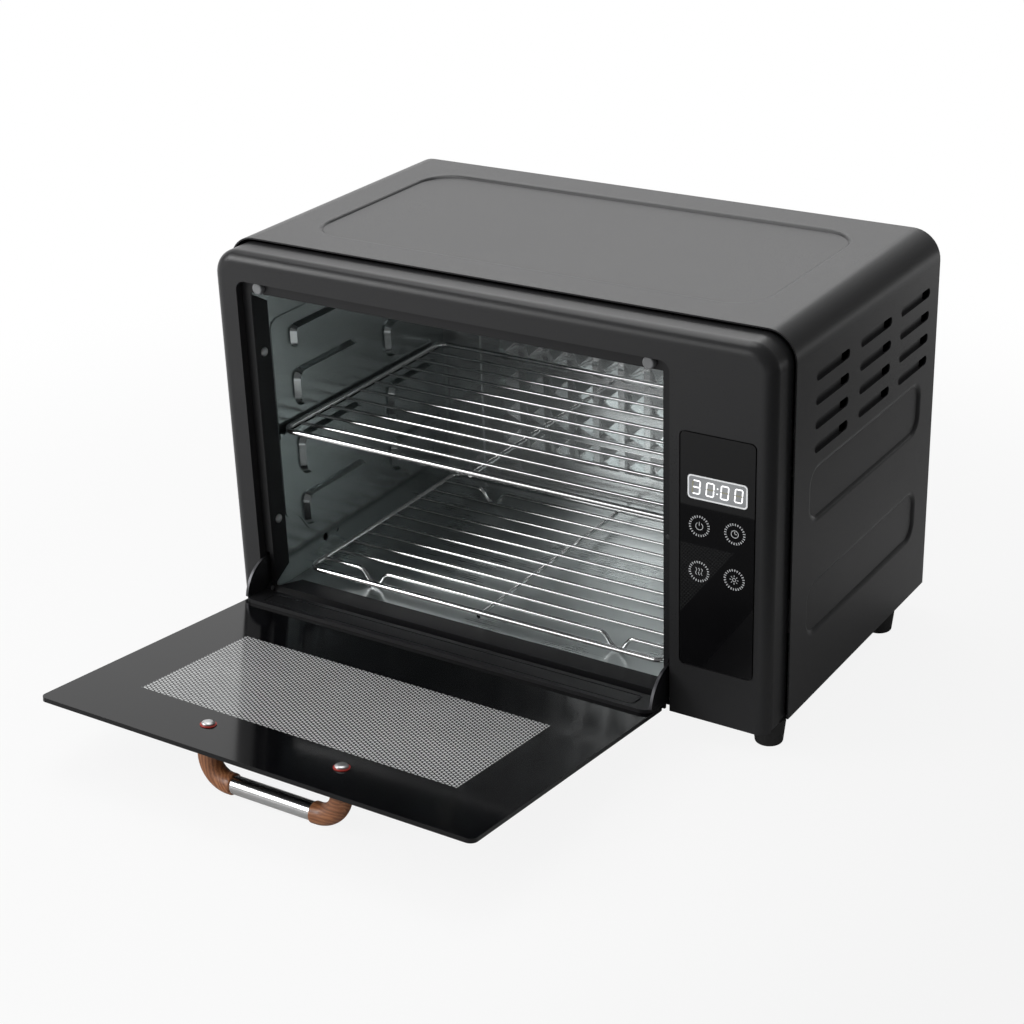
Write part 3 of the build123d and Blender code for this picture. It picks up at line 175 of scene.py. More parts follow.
class Wire:
    """One output of a shader; arithmetic on it adds Math nodes."""

    def __init__(self, finish, socket):
        self.finish = finish
        self.socket = socket

    def maths(self, operation, *values):
        return self.finish.node("ShaderNodeMath", {"operation": operation}, dict(enumerate(values)))

    def floor(self):
        return self.maths("FLOOR", self)

    def sine(self):
        return self.maths("SINE", self)

    def __add__(self, other):
        return self.maths("ADD", self, other)

    __radd__ = __add__

    def __sub__(self, other):
        return self.maths("SUBTRACT", self, other)

    def __rsub__(self, other):
        return self.maths("SUBTRACT", other, self)

    def __mul__(self, other):
        return self.maths("MULTIPLY", self, other)

    __rmul__ = __mul__

    def __truediv__(self, other):
        return self.maths("DIVIDE", self, other)

    def __rtruediv__(self, other):
        return self.maths("DIVIDE", other, self)

    def __pow__(self, other):
        return self.maths("POWER", self, other)

    def __abs__(self):
        return self.maths("ABSOLUTE", self)

    def __lt__(self, other):
        return self.maths("LESS_THAN", self, other)

    def __gt__(self, other):
        return self.maths("GREATER_THAN", self, other)

    def __and__(self, other):
        return self.maths("MINIMUM", self, other)

    def __or__(self, other):
        return self.maths("MAXIMUM", self, other)

    def __mod__(self, other):
        return self.maths("FLOORED_MODULO", self, other)


class Finish:
    """A node tree and the one method that adds nodes to it."""

    def __init__(self, tree):
        self.tree = tree

    def node(self, kind, settings=None, inputs=None, output=0):
        made = self.tree.nodes.new(kind)
        for name, value in (settings or {}).items():
            if name == "stops":
                for index, (place, colour) in enumerate(value):
                    stops = made.color_ramp.elements
                    stop = stops[index] if index < len(stops) else stops.new(place)
                    stop.position = place
                    stop.color = colour
            else:
                setattr(made, name, value)
        for name, value in (inputs or {}).items():
            if isinstance(value, Wire):
                self.tree.links.new(value.socket, made.inputs[name])
            else:
                made.inputs[name].default_value = value
        return Wire(self, made.outputs[output])

    def parts(self, vector):
        """The x, y and z of a vector."""
        split = self.node("ShaderNodeSeparateXYZ", inputs={0: vector})
        return tuple(Wire(self, socket) for socket in split.socket.node.outputs)

    def place(self):
        """The object's own x, y and z."""
        return self.parts(self.node("ShaderNodeTexCoord", output="Object"))

    def vector(self, x, y, z):
        return self.node("ShaderNodeCombineXYZ", inputs={0: x, 1: y, 2: z})

    def drawn_out(self, stretch):
        """The object's place, so that a pattern on it is longest along the axis with the least factor."""
        return self.vector(*(value * factor for value, factor in zip(self.place(), stretch)))

    def noise(self, vector, scale, detail=2.0, roughness=0.5, distortion=0.0):
        return self.node("ShaderNodeTexNoise", inputs={
            "Vector": vector, "Scale": scale, "Detail": detail, "Roughness": roughness,
            "Distortion": distortion})

    def mix(self, factor, first, second):
        return self.node("ShaderNodeMix", {"data_type": "RGBA"},
                         {"Factor": factor, 6: first, 7: second}, output=2)

    def ramp(self, factor, *stops):
        return self.node("ShaderNodeValToRGB", {"stops": stops}, {0: factor})

    def step(self, value, low, high):
        """0 below low, 1 above high, smooth between."""
        return self.node("ShaderNodeMapRange", {"interpolation_type": "SMOOTHSTEP"},
                         {"Value": value, "From Min": low, "From Max": high})

    def bump(self, height, distance):
        return self.node("ShaderNodeBump", inputs={"Height": height, "Distance": distance})

    def rays(self):
        """Whether a ray comes from the camera, and whether metal or glass has sent it on."""
        kinds = self.node("ShaderNodeLightPath").socket.node.outputs
        camera_ray, glossy_ray, clear_ray = (
            Wire(self, kinds[kind]) for kind in ("Is Camera Ray", "Is Glossy Ray", "Is Transmission Ray"))
        return camera_ray, glossy_ray | clear_ray


class Surface(Finish):
    """A material with a Principled shader; uniform values go straight on its sockets."""

    def __init__(self, name, **values):
        self.material = bpy.data.materials.new(name)
        self.material.use_nodes = True
        super().__init__(self.material.node_tree)
        self.shader = self.tree.nodes["Principled BSDF"]
        self.set(**values)

    def set(self, **values):
        for name, value in values.items():
            socket = self.shader.inputs[name.replace("_", " ")]
            if isinstance(value, Wire):
                self.tree.links.new(value.socket, socket)
            else:
                socket.default_value = value


def textured_paint(name, colour, lighter, roughness, stipple):
    """Powder paint: a fine stipple over a very even colour."""
    surface = Surface(name, Specular_IOR_Level=0.3)
    place = surface.vector(*surface.place())
    cloud = surface.noise(place, scale=9.0, detail=3.0)
    grain = surface.noise(place, scale=1500.0, roughness=0.6)
    fleck = surface.step(surface.noise(place, scale=2600.0, detail=1.0), 0.62, 0.78)
    surface.set(Base_Color=surface.mix((cloud * 0.6 + fleck * 0.4) & 1.0, colour, lighter),
                Roughness=roughness + (cloud - 0.5) * 0.08 + (grain - 0.5) * 0.16,
                Normal=surface.bump(grain, stipple))
    return surface.material


def rolled_sheet(name, dark, light, roughness, stretch, metallic=1.0):
    """Coated steel sheet with faint rolling lines and the slow waves of thin sheet."""
    surface = Surface(name, Metallic=metallic)
    place = surface.vector(*surface.place())
    lines = surface.noise(surface.drawn_out(stretch), scale=900.0, detail=3.0)
    cloud = surface.noise(place, scale=14.0)
    swell = surface.noise(place, scale=7.0, detail=1.0)
    surface.set(Base_Color=surface.mix(cloud * 0.85 + lines * 0.15, dark, light),
                Roughness=roughness + (lines - 0.5) * 0.03 + (cloud - 0.5) * 0.06,
                Normal=surface.bump(swell, sheet_wave))
    return surface.material


def bright_metal(name, colour, roughness, stretch):
    """Polished metal with the hair lines left by the buffing wheel."""
    surface = Surface(name, Metallic=1.0)
    hairs = surface.noise(surface.drawn_out(stretch), scale=1800.0)
    smear = surface.noise(surface.vector(*surface.place()), scale=30.0, detail=3.0)
    surface.set(Base_Color=surface.mix(smear, dimmed(colour, 0.9), colour),
                Roughness=roughness + (smear - 0.5) * 0.08 + (hairs - 0.5) * 0.05,
                Normal=surface.bump(hairs, 0.000004))
    return surface.material


def moulded(name, colour, roughness, grain=0.00002):
    """Moulded plastic or rubber with a fine skin."""
    surface = Surface(name)
    place = surface.vector(*surface.place())
    skin = surface.noise(place, scale=1200.0)
    cloud = surface.noise(place, scale=40.0)
    surface.set(Base_Color=surface.mix(cloud, dimmed(colour, 0.78), colour),
                Roughness=roughness + (cloud - 0.5) * 0.12,
                Normal=surface.bump(skin, grain))
    return surface.material


def printed_glass():
    """Black-backed glass with a field of silver dots printed under its face."""
    surface = Surface("printed_glass", Roughness=0.6, Specular_IOR_Level=0.0, Coat_Weight=1.0,
                      Coat_Roughness=0.1, Coat_IOR=1.37)
    x, y, z = surface.place()
    from_hinge = (y - hinge.y) * door_along.y + (z - hinge.z) * door_along.z
    column = dot_pitch * math.sqrt(0.75)
    odd_column = (x / column).floor() % 2.0
    across = ((x / column) % 1.0 - 0.5) * column
    up = ((from_hinge / dot_pitch + odd_column * 0.5) % 1.0 - 0.5) * dot_pitch
    distance = (across * across + up * up) ** 0.5
    rim = [dot_pitch * dot_radius_share * share for share in dot_rim_shares]
    inside = ((x > dots_left) & (x < dots_right)
              & (from_hinge > dots_near_hinge) & (from_hinge < dots_far))
    dot = (1.0 - surface.step(distance, *rim)) * inside
    cloud = surface.noise(surface.vector(x, y, z), scale=25.0)
    silver = surface.mix(cloud, rgb(0.48, 0.49, 0.49), rgb(0.58, 0.59, 0.59))
    black = surface.mix(cloud, rgb(0.0015, 0.0015, 0.002), rgb(0.003, 0.003, 0.0035))
    surface.set(Base_Color=surface.mix(dot, black, silver))
    return surface.material


def walnut():
    """Oiled walnut whose fibres follow the elbow's bend, with darker growth lines and fine pores."""
    surface = Surface("walnut", Coat_Weight=0.2, Coat_Roughness=0.25)
    x, y, z = surface.place()
    out = (y - hinge.y) * door_inward.y + (z - hinge.z) * door_inward.z
    across = (y - hinge.y) * door_along.y + (z - hinge.z) * door_along.z
    beside = abs(x - opening_middle)
    bent = (((beside - bend_beside) | 0.0) ** 2.0 + ((bend_out - out) | 0.0) ** 2.0) ** 0.5
    along = (beside + out) * 0.05
    cloud = surface.noise(surface.vector(bent, across, along * 4.0), scale=170.0, distortion=0.4)
    fibre = surface.noise(surface.vector(bent, across, along), scale=2400.0, detail=3.0, roughness=0.6)
    speck = surface.noise(surface.vector(bent, across, along * 0.6), scale=3000.0, detail=1.0)
    pore = surface.step(speck, 0.6, 0.7)
    lines = ((bent + across * 0.45 + cloud * 0.005) * (math.tau / growth_pitch)).sine()
    tone = lines * 0.11 + cloud * 0.45 + fibre * 0.4
    colour = surface.ramp(tone, (0.2, rgb(0.146, 0.05, 0.019)), (0.45, rgb(0.354, 0.136, 0.055)),
                          (0.72, rgb(0.55, 0.248, 0.109)))
    surface.set(Base_Color=surface.mix(pore * 0.55, colour, rgb(0.035, 0.014, 0.008)),
                Roughness=0.4 + (fibre - 0.5) * 0.2 + pore * 0.15,
                Normal=surface.bump(fibre * 0.5 - pore, 0.00006))
    return surface.material


def gloss_panel():
    """Smooth black moulding with a clear lacquer."""
    surface = Surface("gloss_panel", Coat_Weight=1.0, Coat_Roughness=0.03, Coat_IOR=1.35,
                      Specular_IOR_Level=0.0)
    place = surface.vector(*surface.place())
    cloud = surface.noise(place, scale=30.0)
    fleck = surface.noise(place, scale=900.0)
    surface.set(Base_Color=surface.mix(cloud, rgb(0.003, 0.003, 0.0035), rgb(0.005, 0.005, 0.0055)),
                Roughness=0.3 + (fleck - 0.5) * 0.1)
    return surface.material


def lit_window():
    """Grey display window, lighter in the middle where the lamp behind it is."""
    surface = Surface("lit_window", Coat_Weight=1.0, Coat_Roughness=0.05, Coat_IOR=1.35,
                      Specular_IOR_Level=0.0)
    x, y, z = surface.place()
    aside, above = abs(x - lens_centre.x), abs(z - lens_centre.z)
    haze = surface.noise(surface.vector(x, y, z), scale=160.0)
    away = ((aside * aside) * 2.0 + (above * above) * 8.0) ** 0.5
    window = surface.mix(surface.step(away + haze * 0.004, 0.004, 0.036),
                         rgb(0.4, 0.41, 0.42), rgb(0.3, 0.31, 0.32))
    past_x = (aside - (lens_high.x - lens_low.x) / 2 + border_corner) | 0.0
    past_z = (above - (lens_high.z - lens_low.z) / 2 + border_corner) | 0.0
    outside = (past_x * past_x + past_z * past_z) ** 0.5 > border_corner
    surface.set(Base_Color=surface.mix(outside, window, rgb(0.004, 0.004, 0.0045)),
                Roughness=0.4 + haze * 0.15)
    return surface.material


def circuit_board():
    """Green lacquer over copper tracks on a square grid."""
    surface = Surface("circuit_board", Coat_Weight=0.4)
    cells = surface.node("ShaderNodeTexVoronoi", {"distance": "MANHATTAN"},
                         {"Vector": surface.vector(*surface.place()), "Scale": 160.0})
    track = surface.step(cells, 0.28, 0.34) - surface.step(cells, 0.46, 0.52)
    surface.set(Base_Color=surface.mix(track, rgb(0.012, 0.09, 0.04), rgb(0.05, 0.2, 0.07)),
                Roughness=0.35 + track * 0.1)
    return surface.material


def quartz():
    """Clear lamp tube with a little cloud in it."""
    surface = Surface("quartz", Transmission_Weight=0.75, IOR=1.46)
    cloud = surface.noise(surface.vector(*surface.place()), scale=60.0)
    surface.set(Base_Color=surface.mix(cloud, rgb(0.72, 0.78, 0.84), rgb(0.86, 0.9, 0.94)),
                Roughness=0.06 + cloud * 0.12)
    return surface.material


def finned():
    """Heater fins: thin bright plates, with painted shade in the gaps between them."""
    surface = Surface("finned", Metallic=0.8)
    x, y, z = surface.place()
    # Painted shade: the gaps between the fins are coloured near black, where real gaps fall into shade.
    gap = surface.step(abs((z / fin_pitch) % 1.0 - 0.5), 0.2, 0.32)
    surface.set(Base_Color=surface.mix(gap, grey(0.6), grey(0.05)), Roughness=0.35 + gap * 0.3)
    return surface.material


def printed_ink(name, thin, full, glow):
    """Screen print, slightly uneven where the ink is thin, or a lit stroke of the display. Glow given to
    print is painted light.
    """
    surface = Surface(name, Emission_Strength=glow)
    ink = surface.noise(surface.vector(*surface.place()), scale=2200.0)
    colour = surface.mix(ink, thin, full)
    surface.set(Base_Color=colour, Emission_Color=colour, Roughness=0.45 + ink * 0.2)
    return surface.material


body_paint = textured_paint("body_paint", rgb(0.017, 0.017, 0.018), rgb(0.027, 0.027, 0.028),
                            roughness=0.31, stipple=0.00005)
frame_paint = textured_paint("frame_paint", rgb(0.007, 0.007, 0.008), rgb(0.013, 0.013, 0.014),
                             roughness=0.42, stipple=0.00002)
wall_sheet = rolled_sheet("wall_sheet", rgb(0.4, 0.435, 0.435), rgb(0.5, 0.535, 0.535),
                          roughness=0.2, stretch=(1.0, 0.04, 1.0))
floor_sheet = rolled_sheet("floor_sheet", rgb(0.54, 0.575, 0.575), rgb(0.64, 0.675, 0.675),
                           roughness=0.28, stretch=(0.04, 1.0, 1.0))
reflector_sheet = rolled_sheet("reflector_sheet", rgb(0.74, 0.76, 0.76), rgb(0.86, 0.88, 0.88),
                               roughness=0.17, stretch=(0.04, 1.0, 1.0), metallic=0.78)
zinc_sheet = rolled_sheet("zinc_sheet", rgb(0.3, 0.3, 0.31), rgb(0.46, 0.46, 0.47),
                          roughness=0.4, stretch=(1.0, 1.0, 0.06))
hinge_steel = rolled_sheet("hinge_steel", rgb(0.05, 0.05, 0.055), rgb(0.1, 0.1, 0.105),
                           roughness=0.38, stretch=(0.05, 1.0, 1.0))
wire_chrome = bright_metal("wire_chrome", grey(0.74), roughness=0.09, stretch=(1.0, 1.0, 1.0))
tube_chrome = bright_metal("tube_chrome", grey(0.86), roughness=0.17, stretch=(0.02, 1.0, 1.0))
screw_steel = bright_metal("screw_steel", grey(0.56), roughness=0.34, stretch=(1.0, 1.0, 1.0))
dark_screw = bright_metal("dark_screw", rgb(0.12, 0.12, 0.125), roughness=0.35, stretch=(1.0, 1.0, 1.0))
foot_rubber = moulded("foot_rubber", grey(0.022), roughness=0.8, grain=0.00005)
bumper_rubber = moulded("bumper_rubber", rgb(0.2, 0.205, 0.21), roughness=0.45, grain=0.00001)
washer_red = moulded("washer_red", rgb(0.42, 0.03, 0.02), roughness=0.5, grain=0.00001)
black_plastic = moulded("black_plastic", rgb(0.022, 0.022, 0.023), roughness=0.5)
carbon_foam = moulded("carbon_foam", grey(0.05), roughness=0.85, grain=0.00006)
white_ceramic = moulded("white_ceramic", rgb(0.78, 0.77, 0.73), roughness=0.32, grain=0.00001)
# The key marks and the display border are print, yet glow a little: painted light.
key_ink = printed_ink("key_ink", rgb(0.42, 0.43, 0.44), rgb(0.56, 0.57, 0.58), glow=0.05)
border_ink = printed_ink("border_ink", rgb(0.7, 0.71, 0.72), rgb(0.84, 0.85, 0.86), glow=0.2)
lit_stroke = printed_ink("lit_stroke", rgb(0.9, 0.92, 0.94), grey(1.0), glow=0.9)
unlit_stroke = printed_ink("unlit_stroke", rgb(0.3, 0.29, 0.2), rgb(0.37, 0.36, 0.25), glow=0.0)

finishes = {
    body_paint: ("outer_shell", "front_bezel", "back_panel"),
    frame_paint: ("front_frame", "door_hinge_strip"),
    wall_sheet: ("cavity_left_wall", "rack_rail_left", "rack_rail_right"),
    floor_sheet: ("cavity_floor", "cavity_right_wall", "cavity_ceiling"),
    reflector_sheet: ("rear_reflector",),
    zinc_sheet: ("base_plate", "heater_duct", "power_standoffs", "board_spacers", "temperature_probe",
                 "hinge_pin_left", "hinge_pin_right", "hinge_spring_left", "hinge_spring_right"),
    hinge_steel: ("hinge_arm_left", "hinge_arm_right"),
    wire_chrome: ("upper_rack", "lower_rack"),
    tube_chrome: ("handle_tube",),
    screw_steel: ("fan_shaft", "thermal_cutout"),
    foot_rubber: ("foot_front_left", "foot_front_right", "foot_rear_left", "foot_rear_right"),
    bumper_rubber: ("bumper_left", "bumper_right"),
    washer_red: ("handle_washers",),
    black_plastic: ("display_module", "door_switch", "switch_plunger", "fan_frame", "fan_impeller",
                    "fan_motor", "cord_gland", "lamp_driver"),
    carbon_foam: ("touch_pads",),
    white_ceramic: ("lamp_holder_left", "lamp_holder_right"),
    printed_glass(): ("door_glass",),
    walnut(): ("handle_elbow_left", "handle_elbow_right"),
    gloss_panel(): ("control_panel",),
    lit_window(): ("display_lens",),
    circuit_board(): ("control_board", "power_board"),
    quartz(): ("uv_lamp",),
    finned(): ("ptc_heater",),
}
for finish, names in finishes.items():
    for name in names:
        nodes[name].data.materials.clear()
        nodes[name].data.materials.append(finish)


def add_piece(name, shape, finish, body):
    """Makes the bmesh an object that rides on a body."""
    bmesh.ops.recalc_face_normals(shape, faces=shape.faces)
    mesh = bpy.data.meshes.new(name)
    shape.to_mesh(mesh)
    shape.free()
    mesh.materials.append(finish)
    piece = bpy.data.objects.new(name, mesh)
    bpy.context.scene.collection.objects.link(piece)
    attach(piece, body)
    return piece


def moved_verts(result):
    """The new vertices that an extrusion gives."""
    return [item for item in result["geom"] if isinstance(item, bmesh.types.BMVert)]


def flat_face(shape, points):
    """One flat face in x and z."""
    shape.faces.new([shape.verts.new((x, 0.0, z)) for x, z in points])


def flat_ring(shape, centre, radius, width, start=0.0, sweep=math.tau, steps=48):
    """A flat ring, or a part of one, swept from straight up."""
    ends = [shape.verts.new((centre[0], 0.0, centre[1] + radius + offset))
            for offset in (-width / 2, width / 2)]
    edge = shape.edges.new(ends)
    middle = Vector((centre[0], 0.0, centre[1]))
    bmesh.ops.rotate(shape, verts=ends, cent=middle, matrix=Matrix.Rotation(start, 3, "Y"))
    bmesh.ops.spin(shape, geom=ends + [edge], cent=middle, axis=(0.0, 1.0, 0.0), angle=sweep, steps=steps,
                   use_merge=sweep == math.tau)


def flat_bar(shape, start, end, width):
    """A flat line between two points."""
    first, last = Vector(start), Vector(end)
    ahead = last - first
    aside = Vector((-ahead.y, ahead.x)).normalized() * width / 2
    flat_face(shape, [first + aside, last + aside, last - aside, first - aside])


def stand_proud(shape, face_y):
    """Gives the flat marks their thickness in front of a face."""
    bmesh.ops.translate(shape, verts=shape.verts, vec=(0.0, face_y, 0.0))
    raised = bmesh.ops.extrude_face_region(shape, geom=shape.faces[:])
    bmesh.ops.translate(shape, verts=moved_verts(raised), vec=(0.0, -mark_thickness, 0.0))


def turned(centre, angle, radius):
    """A point round a centre, the angle from straight up."""
    return centre[0] + radius * math.sin(angle), centre[1] + radius * math.cos(angle)


def power_symbol(shape, centre):
    """A ring that is open at the top, with a bar in the gap."""
    gap = math.radians(34.0)
    flat_ring(shape, centre, symbol_radius, symbol_line, gap, math.tau - 2 * gap, steps=36)
    flat_bar(shape, turned(centre, 0.0, symbol_radius * 0.15), turned(centre, 0.0, symbol_radius * 1.2),
             symbol_line)


def clock_symbol(shape, centre):
    """A ring with two hands."""
    flat_ring(shape, centre, symbol_radius, symbol_line)
    flat_bar(shape, centre, (centre[0], centre[1] + symbol_radius * 0.75), symbol_line)
    flat_bar(shape, centre, (centre[0] + symbol_radius * 0.55, centre[1]), symbol_line)


def heat_symbol(shape, centre):
    """Three upright waves, each of two arcs."""
    bend = symbol_radius * 0.5
    bend_sweep = math.radians(115.0)
    for offset in (-1.0, 0.0, 1.0):
        x = centre[0] + offset * symbol_radius * 0.8
        for side, start in ((1.0, math.radians(20.0)), (-1.0, math.radians(200.0))):
            arc_centre = (x - side * bend * 0.7, centre[1] + side * bend * 0.95)
            flat_ring(shape, arc_centre, bend, symbol_line, start, bend_sweep, steps=10)


def lamp_symbol(shape, centre):
    """A small ring with rays round it."""
    rays = 8
    flat_ring(shape, centre, symbol_radius * 0.45, symbol_line)
    for ray in range(rays):
        angle = math.tau * ray / rays
        flat_bar(shape, turned(centre, angle, symbol_radius * 0.8),
                 turned(centre, angle, symbol_radius * 1.25), symbol_line)


# Marks on the four touch keys: a ring of short dashes round a plain symbol
marks = bmesh.new()
key_places = [(key_x, key_z) for key_z in key_rows for key_x in key_columns]
dash_turn = math.tau / key_ring_dashes
for key, symbol in zip(key_places, (power_symbol, clock_symbol, heat_symbol, lamp_symbol)):
    for dash in range(key_ring_dashes):
        flat_ring(marks, key, key_ring_radius, key_ring_width, dash * dash_turn, dash_turn * key_dash_share,
                  steps=key_dash_steps)
    symbol(marks, key)
stand_proud(marks, panel_face)
add_piece("key_marks", marks, key_ink, "cabinet")

# Display border: four rounded corners and the lines between them
half_width = (lens_high.x - lens_low.x - border_line) / 2
half_height = (lens_high.z - lens_low.z - border_line) / 2
inner_width = half_width - border_corner
inner_height = half_height - border_corner
quarter = math.radians(90.0)
border = bmesh.new()
for turn, (side_x, side_z) in enumerate(((1, 1), (1, -1), (-1, -1), (-1, 1))):
    corner = (lens_centre.x + side_x * inner_width, lens_centre.z + side_z * inner_height)
    flat_ring(border, corner, border_corner, border_line, turn * quarter, quarter, steps=border_corner_steps)
for side in (-1, 1):
    level = lens_centre.z + side * half_height
    upright = lens_centre.x + side * half_width
    flat_bar(border, (lens_centre.x - inner_width, level), (lens_centre.x + inner_width, level), border_line)
    flat_bar(border, (upright, lens_centre.z - inner_height), (upright, lens_centre.z + inner_height),
             border_line)
stand_proud(border, lens_face)
add_piece("display_border", border, border_ink, "cabinet")

# Seven-stroke digits: the strokes of each shown digit, and each stroke's ends in half widths and heights
strokes_of = {"0": "abcdef", "3": "abcdg"}
stroke_runs = {
    "a": ((-1, 1), (1, 1)), "b": ((1, 1), (1, 0)), "c": ((1, 0), (1, -1)), "d": ((-1, -1), (1, -1)),
    "e": ((-1, 0), (-1, -1)), "f": ((-1, 1), (-1, 0)), "g": ((-1, 0), (1, 0)),
}


def digit_stroke_face(shape, start, end):
    """A pointed stroke between two corners of a digit, clear of its neighbours."""
    ahead = (Vector(end) - Vector(start)).normalized()
    aside = Vector((-ahead.y, ahead.x)) * digit_stroke / 2
    tip = ahead * digit_stroke * stroke_tip_share
    shoulder = ahead * digit_stroke * stroke_shoulder_share
    near, far = Vector(start) + shoulder, Vector(end) - shoulder
    flat_face(shape, [Vector(start) + tip, near + aside, far + aside, Vector(end) - tip, far - aside,
                      near - aside])


def display_strokes(lit):
    """The strokes of the shown time that are lit, or those that are not."""
    shape = bmesh.new()
    cursor = -(digit_pitch * 3 + colon_room) / 2
    for character in shown_time:
        if character == ":":
            middle = cursor - digit_pitch / 2 + colon_room / 2
            for side in (-1, 1) if lit else ():
                dot_z = side * digit_height * colon_height_share
                flat_bar(shape, (middle - digit_stroke / 2, dot_z), (middle + digit_stroke / 2, dot_z),
                         digit_stroke)
            cursor += colon_room
            continue
        for stroke, ends in stroke_runs.items():
            if (stroke in strokes_of[character]) == lit:
                digit_stroke_face(shape, *((cursor + side_x * digit_width / 2, side_z * digit_height / 2)
                                           for side_x, side_z in ends))
        cursor += digit_pitch
    slant = Matrix.Identity(4)
    slant[0][2] = math.tan(digit_slant)
    bmesh.ops.transform(shape, verts=shape.verts, matrix=slant)
    bmesh.ops.translate(shape, verts=shape.verts, vec=(lens_centre.x, 0.0, lens_centre.z))
    stand_proud(shape, lens_face)
    return shape


add_piece("display_digits", display_strokes(True), lit_stroke, "cabinet")
add_piece("display_unlit", display_strokes(False), unlit_stroke, "cabinet")


def solid_boxes(name):
    """The lowest and highest corners of each separate solid of a CAD node."""
    shape = bmesh.new()
    shape.from_mesh(nodes[name].data)
    bmesh.ops.remove_doubles(shape, verts=shape.verts, dist=weld_distance)
    left = set(shape.verts)
    boxes = []
    while left:
        found = {left.pop()}
        rim = list(found)
        while rim:
            near = {link.other_vert(vert) for vert in rim for link in vert.link_edges} - found
            found |= near
            rim = list(near)
        left -= found
        boxes.append(tuple(Vector(pick(vert.co[axis] for vert in found) for axis in range(3))
                           for pick in (min, max)))
    shape.free()
    return boxes


def add_screw(shape, tip, outward, head_radius, head_height, length):
    """A pan-head screw with a cross recess, its head's top at the tip."""
    shank = head_radius * shank_share
    outline = [(0.0, -length), (shank, -length), (shank, -head_height)]
    outline += [(head_radius * across, -head_height * down) for across, down in head_outline_shares]
    screw = bmesh.new()
    profile = [screw.verts.new((radius, 0.0, z)) for radius, z in outline]
    run = [screw.edges.new(pair) for pair in zip(profile, profile[1:])]
    bmesh.ops.spin(screw, geom=profile + run, axis=(0.0, 0.0, 1.0), cent=(0.0, 0.0, 0.0), angle=math.tau,
                   steps=screw_steps, use_merge=True)
    bmesh.ops.remove_doubles(screw, verts=screw.verts, dist=weld_distance)
    bmesh.ops.recalc_face_normals(screw, faces=screw.faces)
    wing, reach = head_radius * wing_share, head_radius * recess_share
    for normal in ((1.0, 0.0, 0.0), (0.0, 1.0, 0.0)):
        for offset in (-reach, -wing, wing, reach):
            bmesh.ops.bisect_plane(screw, geom=screw.verts[:] + screw.edges[:] + screw.faces[:],
                                   plane_co=Vector(normal) * offset, plane_no=normal)
    cross = []
    for face in screw.faces:
        middle = face.calc_center_median()
        narrow, wide = sorted((abs(middle.x), abs(middle.y)))
        if narrow < wing and wide < reach and middle.z > -head_height / 2:
            cross.append(face)
    sunk = bmesh.ops.extrude_face_region(screw, geom=cross)
    bmesh.ops.translate(screw, verts=moved_verts(sunk), vec=(0.0, 0.0, -head_height * recess_depth_share))
    turn = Vector((0.0, 0.0, 1.0)).rotation_difference(outward).to_matrix().to_4x4()
    bmesh.ops.transform(screw, verts=screw.verts, matrix=Matrix.Translation(tip) @ turn)
    mesh = bpy.data.meshes.new("screw")
    screw.to_mesh(mesh)
    screw.free()
    shape.from_mesh(mesh)
    bpy.data.meshes.remove(mesh)


def backwards(middle):
    return Vector((0.0, 1.0, 0.0))


def downwards(middle):
    return Vector((0.0, 0.0, -1.0))


def into_opening(middle):
    return Vector((-1.0 if middle.x > opening_middle else 1.0, 0.0, 0.0))


# Cabinet screws with cross recesses: the finish, and the way that a head faces
screw_sets = {
    "back_screws": (dark_screw, backwards),
    "foot_screws": (screw_steel, downwards),
    "frame_screws": (screw_steel, into_opening),
}
for name, (finish, facing) in screw_sets.items():
    shape = bmesh.new()
    for low, high in solid_boxes(name):
        middle, size = (low + high) / 2, high - low
        outward = facing(middle)
        length = abs(size.dot(outward))
        radius = (sum(size) - length) / 4
        add_screw(shape, middle + outward * length / 2, outward, radius, radius * head_height_share, length)
    piece = add_piece(name + "_heads", shape, finish, "cabinet")
    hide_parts(name)

# Handle screws, through the glass
handle_low, handle_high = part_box("handle_screws")
shape = bmesh.new()
for x in (handle_low.x + handle_head_radius, handle_high.x - handle_head_radius):
    tip = hinge + Vector((x, 0.0, 0.0)) + door_along * handle_reach + door_inward * handle_head_top
    add_screw(shape, tip, door_inward, handle_head_radius, handle_head_height, handle_screw_length)
piece = add_piece("handle_screw_heads", shape, screw_steel, "door")
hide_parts("handle_screws")

# Door springs, which are stretched while the door is open and drawn in towards their rear ends as it shuts:
# each gets a mesh of its own
for name in ("hinge_spring_left", "hinge_spring_right"):
    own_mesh(nodes[name])

# Soft edges of pressed and moulded pieces
edge_widths = {
    "front_frame": 0.0005, "control_panel": 0.0004, "door_glass": 0.0006, "door_hinge_strip": 0.0005,
    "hinge_arm_left": 0.0004, "hinge_arm_right": 0.0004, "cavity_left_wall": 0.0016,
    "rear_reflector": 0.0003,
}
for name, width in edge_widths.items():
    weld = nodes[name].modifiers.new("weld", "WELD")
    weld.merge_threshold = weld_distance
    bevel = nodes[name].modifiers.new("soft_edge", "BEVEL")
    bevel.width = width
    bevel.segments = soft_edge_segments
    bevel.limit_method = "ANGLE"
    bevel.angle_limit = soft_edge_angle
    bevel.harden_normals = True
    nodes[name].modifiers.new("even_shading", "WEIGHTED_NORMAL")


def towards(x, y, side):
    """How far a place or a direction lies to one side."""
    return x * side[0] + y * side[1]


